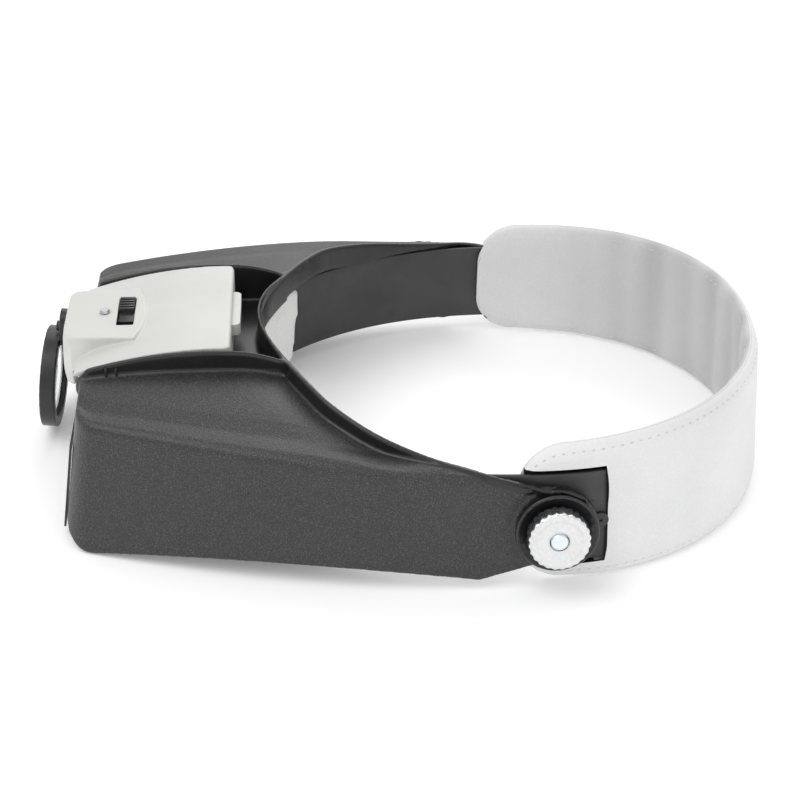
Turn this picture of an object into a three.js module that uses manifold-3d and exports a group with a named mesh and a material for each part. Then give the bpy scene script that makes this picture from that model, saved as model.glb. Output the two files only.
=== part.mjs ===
// Head visor magnifier, in millimetres. +Z is up, the visor faces -Y and the wearer's left is +X.
// The origin is the middle of the bottom of the whole object.
import * as THREE from "three";
import { mergeVertices } from "three/addons/utils/BufferGeometryUtils.js";
import Module from "manifold-3d";

const wasm = await Module();
wasm.setup();

// ---- driving dimensions -------------------------------------------------------------------
const GAP = 0.3; // clearance between touching pieces
const PIVOT_Y = 47.4; // axis on which the visor tilts
const PIVOT_Z = 22.1;
const ARM_MID_X = 86.1; // middle of the arm's wall at the pivot
const ARM_LEAN = 0.125; // the arms and the band lean outwards towards the bottom
const ARM_END_R = 14;

const VISOR_FRONT_Y = -117.4; // front wall at the bottom edge
const FRONT_LEAN = 0.145; // the front wall leans back towards the top
const FRONT_ANGLE = Math.atan(FRONT_LEAN);
const FRONT_WALL = 3.4;
const WALL = 2.2;
const CORNER_R = 7;
const SIDE_START_Y = -107.8;
const SIDE_LENGTH = 145.95;

const CRADLE_HALF = 30.7;
const CRADLE_WALL = 1.7;
const WELL_FLOOR_Z = 45;
const LAMP_HALF = 30;
const LAMP_REAR_Y = -58.9;
const LAMP_FRONT_Y = -110.8; // front of the lower shell
const LAMP_BOTTOM_Z = 45.4;
const LAMP_SPLIT_Z = 50;
const LAMP_TILT_Y = -97;
const LAMP_TILT_Z = 48.2;
const NOSE_TOP_Z = 58;
const SHELL = 1.3; // wall of the lamp housing

const BAND_MID_Z = 22.1;
const BAND_BOTTOM_Z = 6.5;
const BAND_TOP_Z = 39;
const SLEEVE_THICK = 4.9;
const SLOT_Y = 66; // where the band enters the sleeve
const SLEEVE_FRONT_Y = 35;

const LENS_HALF = 50;
const LENS_LOW = 4.5; // measured up the leaning front wall
const LENS_HIGH = 34.5;

const FLIP_Y = -104.6; // pin of the inner lens
const FLIP_Z = 39.9;
const FLIP_HALF = 47;
const FLIP_DEPTH = 29;

const LOUPE_X = -20;
const LOUPE_LEAN = THREE.MathUtils.degToRad(4.8);
const LOUPE_YAW = THREE.MathUtils.degToRad(3);
const LOUPE_PIVOT = new THREE.Vector3(LOUPE_X, -119.3, 41.6);
const LOUPE_DROP = 21.5; // from the swivel down to the middle of the ring
const LOUPE_R = 18.8;
const LOUPE_HOLE_R = 15;

// ---- solids -------------------------------------------------------------------------------
const V3 = (x, y, z) => new THREE.Vector3(x, y, z);
const clamp01 = (t) => THREE.MathUtils.clamp(t, 0, 1);
const place = (x, y, z) => new THREE.Matrix4().makeTranslation(x, y, z);

// A closed geometry as a manifold-3d solid.
function solid(geometry, matrix) {
  const plain = new THREE.BufferGeometry();
  plain.setAttribute("position", geometry.getAttribute("position").clone());
  plain.setIndex(geometry.index);
  if (matrix) plain.applyMatrix4(matrix);
  const merged = mergeVertices(plain, 1e-4);
  return new wasm.Manifold(
    new wasm.Mesh({
      numProp: 3,
      vertProperties: new Float32Array(merged.attributes.position.array),
      triVerts: new Uint32Array(merged.index.array),
    }),
  );
}

function geometryOf(shape) {
  const mesh = shape.getMesh();
  return new THREE.BufferGeometry()
    .setAttribute("position", new THREE.BufferAttribute(new Float32Array(mesh.vertProperties), 3))
    .setIndex(new THREE.BufferAttribute(new Uint32Array(mesh.triVerts), 1));
}

const join = (shapes) => shapes.reduce((a, b) => a.add(b));

// A box between two corners.
function box(x0, x1, y0, y1, z0, z1, matrix) {
  const at = place((x0 + x1) / 2, (y0 + y1) / 2, (z0 + z1) / 2);
  if (matrix) at.premultiply(matrix);
  return solid(new THREE.BoxGeometry(x1 - x0, y1 - y0, z1 - z0), at);
}

// A cylinder or cone from one point to another.
function rod(from, to, r0, r1 = r0, sides = 32) {
  const along = to.clone().sub(from);
  const turn = new THREE.Quaternion().setFromUnitVectors(V3(0, 1, 0), along.clone().normalize());
  const middle = from.clone().add(to).multiplyScalar(0.5);
  const matrix = new THREE.Matrix4().compose(middle, turn, V3(1, 1, 1));
  return solid(new THREE.CylinderGeometry(r1, r0, along.length(), sides), matrix);
}

// A plan or side outline, extruded. Points are pairs; the extrusion runs along X or Z.
const EXTRUDE_TURNS = {
  X: new THREE.Matrix4().makeBasis(V3(0, 1, 0), V3(0, 0, 1), V3(1, 0, 0)), // pairs are (y, z)
  Z: new THREE.Matrix4(), // pairs are (x, y)
};
function prism(axis, points, from, to, matrix) {
  const shape = new THREE.Shape(points.map(([a, b]) => new THREE.Vector2(a, b)));
  const geometry = new THREE.ExtrudeGeometry(shape, { depth: to - from, bevelEnabled: false });
  const turn = new THREE.Matrix4().multiplyMatrices(EXTRUDE_TURNS[axis], place(0, 0, from));
  if (matrix) turn.premultiply(matrix);
  return solid(geometry, turn);
}

// A profile of (radius, height) pairs, turned about a line along +Y of the given matrix.
function lathe(points, matrix, sides = 48) {
  const profile = points.map(([r, h]) => new THREE.Vector2(r, h));
  return solid(new THREE.LatheGeometry(profile, sides), matrix);
}

// A skin through rings of the same number of points, closed with a fan at each end.
function loft(rings) {
  const count = rings[0].length;
  const positions = [];
  const index = [];
  for (const ring of rings) for (const p of ring) positions.push(p.x, p.y, p.z);
  for (let i = 0; i < rings.length - 1; i++) {
    for (let j = 0; j < count; j++) {
      const a = i * count + j;
      const b = i * count + ((j + 1) % count);
      index.push(a, b, a + count, b, b + count, a + count);
    }
  }
  for (const [ring, first, flip] of [
    [rings[0], 0, true],
    [rings.at(-1), (rings.length - 1) * count, false],
  ]) {
    const middle = ring.reduce((sum, p) => sum.add(p), V3(0, 0, 0)).divideScalar(count);
    const centre = positions.length / 3;
    positions.push(middle.x, middle.y, middle.z);
    for (let j = 0; j < count; j++) {
      const a = first + j;
      const b = first + ((j + 1) % count);
      if (flip) index.push(centre, b, a);
      else index.push(centre, a, b);
    }
  }
  const geometry = new THREE.BufferGeometry();
  geometry.setAttribute("position", new THREE.BufferAttribute(new Float32Array(positions), 3));
  geometry.setIndex(index);
  const made = solid(geometry);
  if (made.volume() > 0) return made;
  for (let i = 0; i < index.length; i += 3) {
    [index[i + 1], index[i + 2]] = [index[i + 2], index[i + 1]];
  }
  geometry.setIndex(index);
  return solid(geometry);
}

// Points of an arc, in radians, as pairs.
function arc(cx, cy, r, from, to, steps) {
  return Array.from({ length: steps + 1 }, (_, i) => {
    const t = from + ((to - from) * i) / steps;
    return [cx + r * Math.cos(t), cy + r * Math.sin(t)];
  });
}

// ---- visor --------------------------------------------------------------------------------
const creaseU = (y) => (y - SIDE_START_Y) / SIDE_LENGTH;
function creaseX(y) {
  const u = Math.min(creaseU(y), 0.94);
  return 56.91 + 56.48 * u - 22.77 * u * u - 5.48 * u * u * u;
}
function creaseZ(y) {
  const u = creaseU(y);
  return 47.76 - 1.06 * u - 9.25 * u * u;
}
const sideLean = (y) => 0.155 - 0.03 * clamp01((y - SIDE_START_Y) / 128);
const sideX = (y, z) => creaseX(y) + sideLean(y) * (creaseZ(y) - z);
const roofMidZ = (y) => 54 - 2.4 * clamp01((-80 - y) / 30) ** 2;
const roofZ = (x, y) => creaseZ(y) + (roofMidZ(y) - creaseZ(y)) * (1 - (x / creaseX(y)) ** 2);
const bottomZ = (y) => 6.9 * (1 - ((y + 33) / 75) ** 2);

// Half-width taken off by the rounded front corners, at a distance behind the front wall.
function cornerCut(behind, r) {
  return behind >= r ? 0 : r - Math.sqrt(Math.max(0, r * r - (r - behind) ** 2));
}

// One cross-section of the visor's outside, or of its inside when inset is the wall thickness.
function visorRing(stationY, behind, inset) {
  const shear = FRONT_LEAN * (1 - THREE.MathUtils.smoothstep(stationY, -100, -60));
  const side = (z) => {
    const y = stationY + shear * z;
    return V3(sideX(y, z) - cornerCut(behind, CORNER_R - inset) - inset, y, z);
  };
  const roof = (fraction) => {
    const z0 = creaseZ(stationY + shear * 48);
    const y = stationY + shear * z0;
    const reach = creaseX(y) - cornerCut(behind, CORNER_R - inset) - inset;
    const x = reach * fraction;
    return V3(x, y, roofZ(x, y) - inset);
  };
  const top = creaseZ(stationY + shear * 48) - inset;
  const half = [side(-5 - inset), side(22), side(top - 4), side(top - 1.4)];
  half.push(...[0.97, 0.85, 0.6, 0.3].map(roof));
  const other = half.map((p) => V3(-p.x, p.y, p.z)).reverse();
  return [...half, roof(0), ...other];
}

function visorSkin(inset, frontInset) {
  const front = VISOR_FRONT_Y + frontInset;
  const radius = CORNER_R - inset;
  const rings = [0, 0.07, 0.35, 1].map((t) => visorRing(front + radius * t, radius * t, inset));
  for (const y of [-102, -90, -77, -63, -48, -33, -17, -2, 13, 28, 66]) {
    rings.push(visorRing(y, radius, inset));
  }
  return loft(rings);
}

// Forehead edge of the roof: x, y and height of its rim, from the middle to the arm.
const RIM = [
  [0, -49.2, 55.6],
  [11.4, -47.8, 55.7],
  [22.8, -43.9, 55.7],
  [34.2, -38.6, 55.4],
  [45.6, -32.4, 54.4],
  [56.9, -24.6, 52.4],
  [68.3, -10.8, 48.2],
  [76, 5.5, 44],
  [80, 18.5, 41.6],
  [83.4, 27.5, 40.1],
];
const RIM_THICK = 1.9;
const RIM_STEPS = 34;

function rimCurve(more = []) {
  const half = [...RIM, ...more].map(([x, y, z]) => V3(x, y, z));
  const other = half.slice(1).map((p) => V3(-p.x, p.y, p.z)).reverse();
  return new THREE.CatmullRomCurve3([...other, ...half]);
}

// The rim's bead runs on along the arms, past the end of the roof's edge.
const RIM_ON_ARM = [
  [84.9, 34.5, 38.7],
  [85.7, 42, 37],
];

function rimWall() {
  const curve = rimCurve(RIM_ON_ARM);
  const steps = RIM_STEPS;
  const rings = [];
  for (let i = 0; i <= steps; i++) {
    const p = curve.getPoint(i / steps);
    const t = curve.getTangent(i / steps).setZ(0).normalize();
    const n = V3(-t.y, t.x, 0).multiplyScalar(RIM_THICK / 2);
    const depth = THREE.MathUtils.clamp(p.z - BAND_TOP_Z - 0.6, 0.9, 9.5);
    const low = V3(0, 0, -depth);
    const shoulder = V3(0, 0, -0.5);
    rings.push([
      p.clone().add(n).add(low),
      p.clone().add(n).add(shoulder),
      p.clone().addScaledVector(n, 0.5),
      p.clone().addScaledVector(n, -0.5),
      p.clone().sub(n).add(shoulder),
      p.clone().sub(n).add(low),
    ]);
  }
  return loft(rings);
}

// Side view of the visor, seen along X: front wall, arched lower edge and round arm end.
function visorSideOutline() {
  const frontAt = (z) => VISOR_FRONT_Y + FRONT_LEAN * z;
  const outline = [[frontAt(75) - 0.01, 75], [frontAt(8) - 0.01, 8]];
  outline.push(...arc(frontAt(8) + 8, 8, 8, Math.PI * 1.08, Math.PI * 1.5, 5));
  for (let y = -104; y < 22; y += 18) outline.push([y, Math.max(0, bottomZ(y))]);
  outline.push([22.5, bottomZ(22.5)]);
  outline.push(...arc(PIVOT_Y, PIVOT_Z, ARM_END_R, Math.PI * 1.4, Math.PI * 2.5, 14));
  outline.push([PIVOT_Y - 6, 75]);
  return outline;
}

const frontFrame = new THREE.Matrix4().multiplyMatrices(
  place(0, VISOR_FRONT_Y, 0),
  new THREE.Matrix4().makeRotationX(-FRONT_ANGLE),
);

// Matrix whose +Y axis is the tilted bolt axis of one side, with its origin in the arm's wall.
function pivotFrame(side) {
  const axis = V3(side, 0, ARM_LEAN).normalize();
  const turn = new THREE.Quaternion().setFromUnitVectors(V3(0, 1, 0), axis);
  return new THREE.Matrix4().compose(V3(side * ARM_MID_X, PIVOT_Y, PIVOT_Z), turn, V3(1, 1, 1));
}
const onPivot = (side, from, to, r, sides = 32) => {
  const at = pivotFrame(side);
  return rod(V3(0, from, 0).applyMatrix4(at), V3(0, to, 0).applyMatrix4(at), r, r, sides);
};

const CRADLE_TOP = [
  [-113.6, 46],
  [-113.2, 48.4],
  [-111.8, 50.3],
  [-109.4, 51.6],
  [-107.6, 53.9],
  [-102, 55.4],
  [-96.9, 56.6],
  [-86.3, 58.5],
  [-75.6, 59.5],
  [-65, 59.8],
  [-54.3, 59.2],
  [-46.5, 57.4],
  [-40, 55],
];

const RIB_Y = [-101.6, -98.2]; // upright ribs on the cradle's outer sides, by the lamp's trunnions
const RIB_SIZE = 0.9;

function cradle() {
  const profile = [[-113.2, 44], ...CRADLE_TOP, [-40, 43.6], [-97, 43.6]];
  const outer = CRADLE_HALF + CRADLE_WALL;
  const walls = prism("X", profile, -outer, outer);
  const ribs = [];
  for (const y of RIB_Y) {
    ribs.push(box(outer - 0.1, outer + RIB_SIZE, y, y + RIB_SIZE, 48, 54.6));
    ribs.push(box(-outer - RIB_SIZE, -outer + 0.1, y, y + RIB_SIZE, 48, 54.6));
  }
  return join([walls, ...ribs]);
}

function rimHole() {
  const curve = rimCurve();
  const edge = Array.from({ length: RIM_STEPS + 1 }, (_, i) => curve.getPoint(i / RIM_STEPS));
  const end = edge.at(-1).x;
  return prism("Z", [...edge.map((p) => [p.x, p.y]), [end, 80], [-end, 80]], 30, 80);
}

function visorShell() {
  let shell = visorSkin(0, 0).subtract(visorSkin(WALL, FRONT_WALL));
  shell = shell.intersect(prism("X", visorSideOutline(), -110, 110));
  shell = shell.add(cradle().subtract(rimHole()));
  shell = shell.subtract(rimHole()).add(rimWall());
  // the lamp's well: open over the lamp, with a floor only behind the tilt axis
  shell = shell.subtract(box(-CRADLE_HALF, CRADLE_HALF, -109, -50.4, WELL_FLOOR_Z, 75));
  shell = shell.subtract(box(-CRADLE_HALF, CRADLE_HALF, -125, -98, 43.8, 75));
  shell = shell.subtract(recessBehindLamp());
  for (const side of [1, -1]) {
    const at = V3(side * (CRADLE_HALF + 3), LAMP_TILT_Y, LAMP_TILT_Z);
    shell = shell.subtract(rod(V3(side * 28, at.y, at.z), at, 1.9));
    const ring = onPivot(side, 0.9, 1.6, ARM_END_R - 0.3).subtract(onPivot(side, 0.5, 2, 12.4));
    shell = shell.add(ring);
    shell = shell.subtract(onPivot(side, -4, 4, 4.2));
    // ears that hold the pin of the inner lens
    const x = side * (FLIP_HALF + 4);
    shell = shell.add(box(x - 1.2, x + 1.2, FLIP_Y - 3, FLIP_Y + 3, FLIP_Z - 3.3, 47.5));
    shell = shell.subtract(rod(V3(x - 3, FLIP_Y, FLIP_Z), V3(x + 3, FLIP_Y, FLIP_Z), 1.25, 1.25, 16));
  }
  // window with an inner lip for the main lens
  const half = LENS_HALF + GAP;
  const seat = box(-half, half, -2, LENS_THICK + GAP, LENS_LOW - GAP, LENS_HIGH + GAP, frontFrame);
  return shell.subtract(seat).subtract(lensWindow(2, 6));
}

// Space between the lamp and the forehead rim, following the rim.
function recessBehindLamp() {
  const curve = rimCurve();
  const points = [];
  for (let i = 0; i <= RIM_STEPS; i++) {
    const p = curve.getPoint(i / RIM_STEPS);
    if (Math.abs(p.x) > CRADLE_HALF - 0.4) continue;
    const t = curve.getTangent(i / RIM_STEPS).setZ(0).normalize();
    points.push([p.x + t.y * RIM_THICK * 0.5, p.y - t.x * RIM_THICK * 0.5]);
  }
  const [first, last] = [points[0], points.at(-1)];
  points.unshift([-CRADLE_HALF, -60], [-CRADLE_HALF, first[1]]);
  points.push([CRADLE_HALF, last[1]], [CRADLE_HALF, -60]);
  return prism("Z", points, WELL_FLOOR_Z, 75);
}

// The main lens sits in a window of the front wall, behind a thin bezel.
const LENS_LIP = 2.5; // how far the window's inner lip and the bezel cover the lens
const BEZEL_BORDER = 1.6;
const BEZEL_FRONT = -1;
function lensWindow(from, to) {
  const half = LENS_HALF - LENS_LIP;
  return box(-half, half, from, to, LENS_LOW + 2, LENS_HIGH - 2, frontFrame);
}
function lensBezel() {
  const half = LENS_HALF + BEZEL_BORDER;
  const low = LENS_LOW - BEZEL_BORDER;
  const high = LENS_HIGH + BEZEL_BORDER;
  return box(-half, half, BEZEL_FRONT, -GAP, low, high, frontFrame).subtract(lensWindow(-4, 1));
}
const LENS_THICK = 2.4;
const mainLens = () => box(-LENS_HALF, LENS_HALF, 0, LENS_THICK, LENS_LOW, LENS_HIGH, frontFrame);

// ---- inner lens that folds down -------------------------------------------------------------
const FLIP_BORDER = 3;
function flipFrame() {
  const bead = rod(V3(-FLIP_HALF, FLIP_Y, FLIP_Z), V3(FLIP_HALF, FLIP_Y, FLIP_Z), 2.4, 2.4, 24);
  const plate = box(-FLIP_HALF, FLIP_HALF, FLIP_Y, FLIP_Y + FLIP_DEPTH, FLIP_Z - 1.3, FLIP_Z + 1.3);
  const bore = rod(V3(-60, FLIP_Y, FLIP_Z), V3(60, FLIP_Y, FLIP_Z), 1.35, 1.35, 16);
  return bead.add(plate).subtract(flipPanel(0, 3)).subtract(bore);
}
// The inner lens, or the hole for it, at a distance inside the hole's edge.
function flipPanel(inset, halfThick) {
  const half = FLIP_HALF - FLIP_BORDER - inset;
  const near = FLIP_Y + 5 + inset;
  const far = FLIP_Y + FLIP_DEPTH - FLIP_BORDER - inset;
  return box(-half, half, near, far, FLIP_Z - halfThick, FLIP_Z + halfThick);
}
const flipLens = () => flipPanel(GAP, 1.1);
const flipPin = () => rod(V3(-52.2, FLIP_Y, FLIP_Z), V3(52.2, FLIP_Y, FLIP_Z), 1, 1, 16);

// ---- loupe ----------------------------------------------------------------------------------
// Matrix whose +Y axis is the swing axis of the loupe, pointing back at the visor.
const loupeFrameAt = new THREE.Matrix4().multiplyMatrices(
  new THREE.Matrix4().makeTranslation(LOUPE_PIVOT),
  new THREE.Matrix4().makeRotationZ(-LOUPE_YAW).multiply(new THREE.Matrix4().makeRotationX(-LOUPE_LEAN)),
);
const RING_FRONT = -8.8; // ring's front and back, along the swing axis from the swivel
const RING_BACK = -3.3;
const LUG_FRONT = -3.5;
const LUG_BACK = 0.9;
const LUG_R = 4.6;
const LUG_TOP = 2.2; // middle of the lug's round end
const loupeRod = (x, z, from, to, r, sides) =>
  rod(V3(x, from, z).applyMatrix4(loupeFrameAt), V3(x, to, z).applyMatrix4(loupeFrameAt), r, r, sides);

function loupeFrame() {
  const ring = loupeRod(0, -LOUPE_DROP, RING_FRONT, RING_BACK, LOUPE_R, 36);
  const hole = loupeRod(0, -LOUPE_DROP, RING_FRONT - 1, RING_BACK + 1, LOUPE_HOLE_R, 36);
  const seat = loupeRod(0, -LOUPE_DROP, RING_FRONT + 0.9, RING_BACK - 0.9, LOUPE_HOLE_R + 1, 36);
  const lug = box(-LUG_R, LUG_R, LUG_FRONT, LUG_BACK, -5.6, LUG_TOP, loupeFrameAt).add(
    loupeRod(0, LUG_TOP, LUG_FRONT, LUG_BACK, LUG_R, 20),
  );
  const bore = loupeRod(0, 0, -6, 3, 1.5, 20);
  return ring.subtract(hole).subtract(seat).add(lug.subtract(hole)).subtract(bore);
}
function loupeLens() {
  const centre = V3(0, (RING_FRONT + RING_BACK) / 2, -LOUPE_DROP);
  const turned = new THREE.Matrix4().multiplyMatrices(loupeFrameAt, place(centre.x, centre.y, centre.z));
  const r = LOUPE_HOLE_R + 0.7;
  const dome = [[0, -1.7], [r * 0.6, -1.4], [r, -0.8], [r, 0.8], [r * 0.6, 1.4], [0, 1.7]];
  return lathe(dome, turned, 40);
}
const loupeScrew = () => loupeRod(0, 0, -4, 6.5, 1.2, 16).add(loupeRod(0, 0, -4.9, -3.8, 1.9, 20));
function loupeCollar() {
  const collar = loupeRod(0, 0, 1.2, 8.6, 2.9, 28).subtract(loupeRod(0, 0, 0, 20, 1.5, 20));
  const wallAt = frontFrame.clone().setPosition(LOUPE_X, VISOR_FRONT_Y, 0);
  return collar.subtract(box(-12, 12, -GAP, 12, 20, 60, wallAt));
}

// ---- lamp -----------------------------------------------------------------------------------
const lampTopZ = (y) => (y > -62 ? 60 : 60 - 8.5 * ((y + 62) / 50) ** 2);

function lampTopProfile(inset, low) {
  const points = [[LAMP_REAR_Y - inset, low], [LAMP_REAR_Y - inset, 60 - inset - 0.8]];
  points.push([LAMP_REAR_Y - inset - 0.8, 60 - inset]);
  for (let y = -66; y > -110; y -= 6) points.push([y, lampTopZ(y) - inset]);
  points.push([-112.2 + inset, lampTopZ(-112.2) - inset]);
  points.push([-113 + inset, low]);
  return points;
}

// Plan of the raised nose at one height: half-width at the front grows towards the chin.
function noseRing(z, frontHalf, cornerY, frontY, inset) {
  const half = [
    [0, -89.2 - inset],
    [10, -90 - inset],
    [18.4 - inset, -92.4 - inset],
    [17.8 - inset, -100],
    [17.6 - inset + (frontHalf - 17) * 0.12, -106],
    [17.6 - inset + (frontHalf - 17) * 0.45, -110],
    [frontHalf - inset, cornerY],
    [frontHalf - inset - 2, frontY + 0.3 + inset],
    [frontHalf * 0.5, frontY + inset],
    [0, frontY + inset],
  ];
  const mirrored = half.slice(1, -1).reverse().map(([x, y]) => [-x, y]);
  return [...half, ...mirrored].map(([x, y]) => V3(x, y, z));
}
function nose(inset) {
  return loft([
    noseRing(46.4 - inset * 3, 29.4, -112.6, -115.4, inset),
    noseRing(49.5, 26.4, -113.4, -116.6, inset),
    noseRing(52.5, 21.4, -114.4, -117.3, inset),
    noseRing(55.5, 17.8, -115.2, -117.5, inset),
    noseRing(57.4 - inset, 16.8, -115.4, -117.4, inset),
    noseRing(NOSE_TOP_Z - inset, 16.2, -115, -116.9, inset + 0.3),
  ]);
}

const SWITCH = { x0: -10.7, x1: 8.7, y0: -99.3, y1: -93.3 };
const SCREW_AT = V3(-0.4, -103.8, NOSE_TOP_Z);
const onScrew = (z0, z1, r0, r1 = r0, sides = 20) =>
  rod(V3(SCREW_AT.x, SCREW_AT.y, z0), V3(SCREW_AT.x, SCREW_AT.y, z1), r0, r1, sides);

// Plan of the lamp housing, round at its two rear corners.
function lampPlan() {
  const r = 2.4;
  const x = LAMP_HALF - r;
  const y = LAMP_REAR_Y - r;
  return prism("Z", [
    [LAMP_HALF, -125],
    ...arc(x, y, r, 0, Math.PI / 2, 4),
    ...arc(-x, y, r, Math.PI / 2, Math.PI, 4),
    [-LAMP_HALF, -125],
  ], 0, 80);
}

function lampCover() {
  const outside = prism("X", lampTopProfile(0, LAMP_SPLIT_Z), -LAMP_HALF, LAMP_HALF)
    .intersect(lampPlan())
    .add(nose(0));
  const inner = LAMP_HALF - SHELL;
  const inside = prism("X", lampTopProfile(SHELL, LAMP_SPLIT_Z - 3), -inner, inner).add(nose(SHELL));
  let cover = outside.subtract(inside).subtract(box(-40, 40, -111.9, -40, 30, LAMP_SPLIT_Z));
  cover = cover.subtract(box(SWITCH.x0, SWITCH.x1, SWITCH.y0, SWITCH.y1, 52, 70));
  cover = cover.subtract(onScrew(50, 70, 1.4));
  cover = cover.subtract(box(-9.8, 9.8, -125, -111, 47.8, 55.2));
  return cover.subtract(box(TAB.x0 - GAP, TAB.x1 + GAP, LAMP_REAR_Y - 3, -40, 53.6, 58.4));
}

const TAB = { x0: -13, x1: 11 };
function lampBase() {
  const profile = [
    [LAMP_REAR_Y, LAMP_BOTTOM_Z + 0.6],
    [LAMP_REAR_Y, LAMP_SPLIT_Z - GAP],
    [LAMP_FRONT_Y, LAMP_SPLIT_Z - GAP],
    [LAMP_FRONT_Y, 47.2],
    [LAMP_TILT_Y, LAMP_BOTTOM_Z],
    [LAMP_REAR_Y - 0.6, LAMP_BOTTOM_Z],
  ];
  const floorZ = LAMP_BOTTOM_Z + 1.2;
  const trayProfile = [
    [LAMP_REAR_Y - SHELL, floorZ],
    [LAMP_REAR_Y - SHELL, 60],
    [LAMP_FRONT_Y + SHELL, 60],
    [LAMP_FRONT_Y + SHELL, 48.4],
    [LAMP_TILT_Y, floorZ],
  ];
  const inner = LAMP_HALF - SHELL;
  const outside = prism("X", profile, -LAMP_HALF, LAMP_HALF).intersect(lampPlan());
  const tray = prism("X", trayProfile, -inner, inner);
  const screwPost = onScrew(LAMP_BOTTOM_Z + 0.8, 55.9, 2.6).subtract(onScrew(47.6, 57, 1.15));
  const wall = box(-inner + GAP, inner - GAP, -86.2, -84.9, LAMP_BOTTOM_Z + 0.5, 56);
  const trunnion = (side) => {
    const root = V3(side * (LAMP_HALF - 4), LAMP_TILT_Y, LAMP_TILT_Z);
    return rod(root, V3(side * 32.2, LAMP_TILT_Y, LAMP_TILT_Z), 1.5, 1.5, 20);
  };
  return join([outside.subtract(tray), wall, screwPost, trunnion(1), trunnion(-1)]);
}

function coverScrew() {
  const slot = box(SCREW_AT.x - 3, SCREW_AT.x + 3, SCREW_AT.y - 0.3, SCREW_AT.y + 0.3, 58.9, 60);
  const parts = [onScrew(49, 58.2, 0.9), onScrew(58.1, 58.4, 0.9, 1.8), onScrew(58.3, 59.3, 1.8, 1.5)];
  return join(parts).subtract(slot);
}

// The slider lies at the -X end of its window, and travels towards +X.
const SLIDER_TRAVEL = 4;
function switchSlider() {
  const y0 = SWITCH.y0 + GAP;
  const y1 = SWITCH.y1 - GAP;
  const x0 = SWITCH.x0 + GAP;
  const x1 = SWITCH.x1 - GAP - SLIDER_TRAVEL;
  const plate = box(x0, x1, y0, y1, 54.8, 56.7);
  const grip = box(x0, x0 + 8.6, y0, y1, 56, 58.6);
  const grooves = [1.4, 3.2, 5, 6.8].map((x) => box(x0 + x, x0 + x + 0.8, y0 - 1, y1 + 1, 57.9, 60));
  const stem = box(x0 + 5, x0 + 8, y0 + 1.6, y1 - 1.6, 53.6, 55);
  return join([plate, grip, stem]).subtract(join(grooves));
}
function switchBody() {
  const block = box(-12.6, 9.6, -100, -92.6, 51.9, 54.5);
  return block.subtract(box(-6.6, 3, -98.2, -94.2, 53, 56));
}
const circuitBoard = () => box(-15, 15, -110.9, -89, 50.3, 51.6).subtract(onScrew(48, 54, 3.1));

const LED_AT = V3(0, -111.4, 51.5);
const lampLed = () =>
  rod(V3(0, -111.1, LED_AT.z), V3(0, -113, LED_AT.z), 1.9, 1.9, 16).add(
    solid(new THREE.SphereGeometry(1.9, 16, 8), place(0, -113, LED_AT.z)),
  );
function lampReflector() {
  const block = box(-9.2, 9.2, -115.5, -111.2, 48, 55);
  return block
    .subtract(rod(V3(0, -111, LED_AT.z), V3(0, -112.6, LED_AT.z), 2.2, 2.2, 32))
    .subtract(rod(V3(0, -112.2, LED_AT.z), V3(0, -115.8, LED_AT.z), 2.2, 3.2, 32));
}
const lampWindow = () => box(-9.4, 9.4, -117.1, -115.9, 48.1, 54.9);

const CELL_R = 5.25;
const CELL_HALF = 22.2;
const CELL_Z = 52.1;
const CELL_Y = [-67.8, -79.2];
const batteryCell = (y, nub) =>
  rod(V3(-CELL_HALF, y, CELL_Z), V3(CELL_HALF, y, CELL_Z), CELL_R, CELL_R, 32).add(
    rod(V3(nub * (CELL_HALF - 1), y, CELL_Z), V3(nub * (CELL_HALF + 1), y, CELL_Z), 1.9, 1.9, 20),
  );
function contact(side) {
  const x = side * 27.6;
  const plate = box(Math.min(x, x + side * 0.5), Math.max(x, x + side * 0.5), -84.2, -62.6, 48, 56.2);
  const bumps = CELL_Y.map((y, i) => {
    const spring = (side > 0) === (i === 0);
    const tip = spring ? CELL_HALF + GAP : CELL_HALF + 1 + GAP;
    const [wide, narrow] = spring ? [3.6, 2.4] : [2.2, 1.6];
    return rod(V3(x + side * 0.2, y, CELL_Z), V3(side * tip, y, CELL_Z), wide, narrow, 20);
  });
  return join([plate, ...bumps]);
}

function batteryLatch() {
  const tab = box(TAB.x0, TAB.x1, LAMP_REAR_Y - 2.6, -56, 53.9, 58.1);
  const finger = box(TAB.x0 + 2, TAB.x1 - 2, LAMP_REAR_Y - 2.6, LAMP_REAR_Y - 1.7, 51.2, 55);
  const r = 2;
  const plan = [
    [TAB.x0, -70],
    [TAB.x1, -70],
    ...arc(TAB.x1 - r, -56 - r, r, 0, Math.PI / 2, 4),
    ...arc(TAB.x0 + r, -56 - r, r, Math.PI / 2, Math.PI, 4),
  ];
  return tab.intersect(prism("Z", plan, 50, 60)).add(finger);
}

// ---- headband -------------------------------------------------------------------------------
// The head loop is a cone that narrows upwards. Its front half is an ellipse and its back half
// a slightly squarer curve. t runs from the wearer's left (0) over the back (90) to the right (180).
function loopPoint(degrees, offset, z) {
  const a = THREE.MathUtils.degToRad(degrees);
  const back = Math.sin(a) >= 0;
  const drop = BAND_MID_Z - z;
  const halfWidth = 84.4 + 0.1114 * drop - offset;
  const power = back ? 2 / 2.18 : 2 / (2 + 0.18 * (1 - Math.abs(Math.sin(a))));
  const reach = back ? 88.5 + 0.0645 * drop - offset : 107.8 + 0.12 * drop - offset;
  const x = halfWidth * Math.sign(Math.cos(a)) * Math.abs(Math.cos(a)) ** power;
  const y = 40.7 + reach * Math.sign(Math.sin(a)) * Math.abs(Math.sin(a)) ** power;
  return V3(x, y, z);
}

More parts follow.
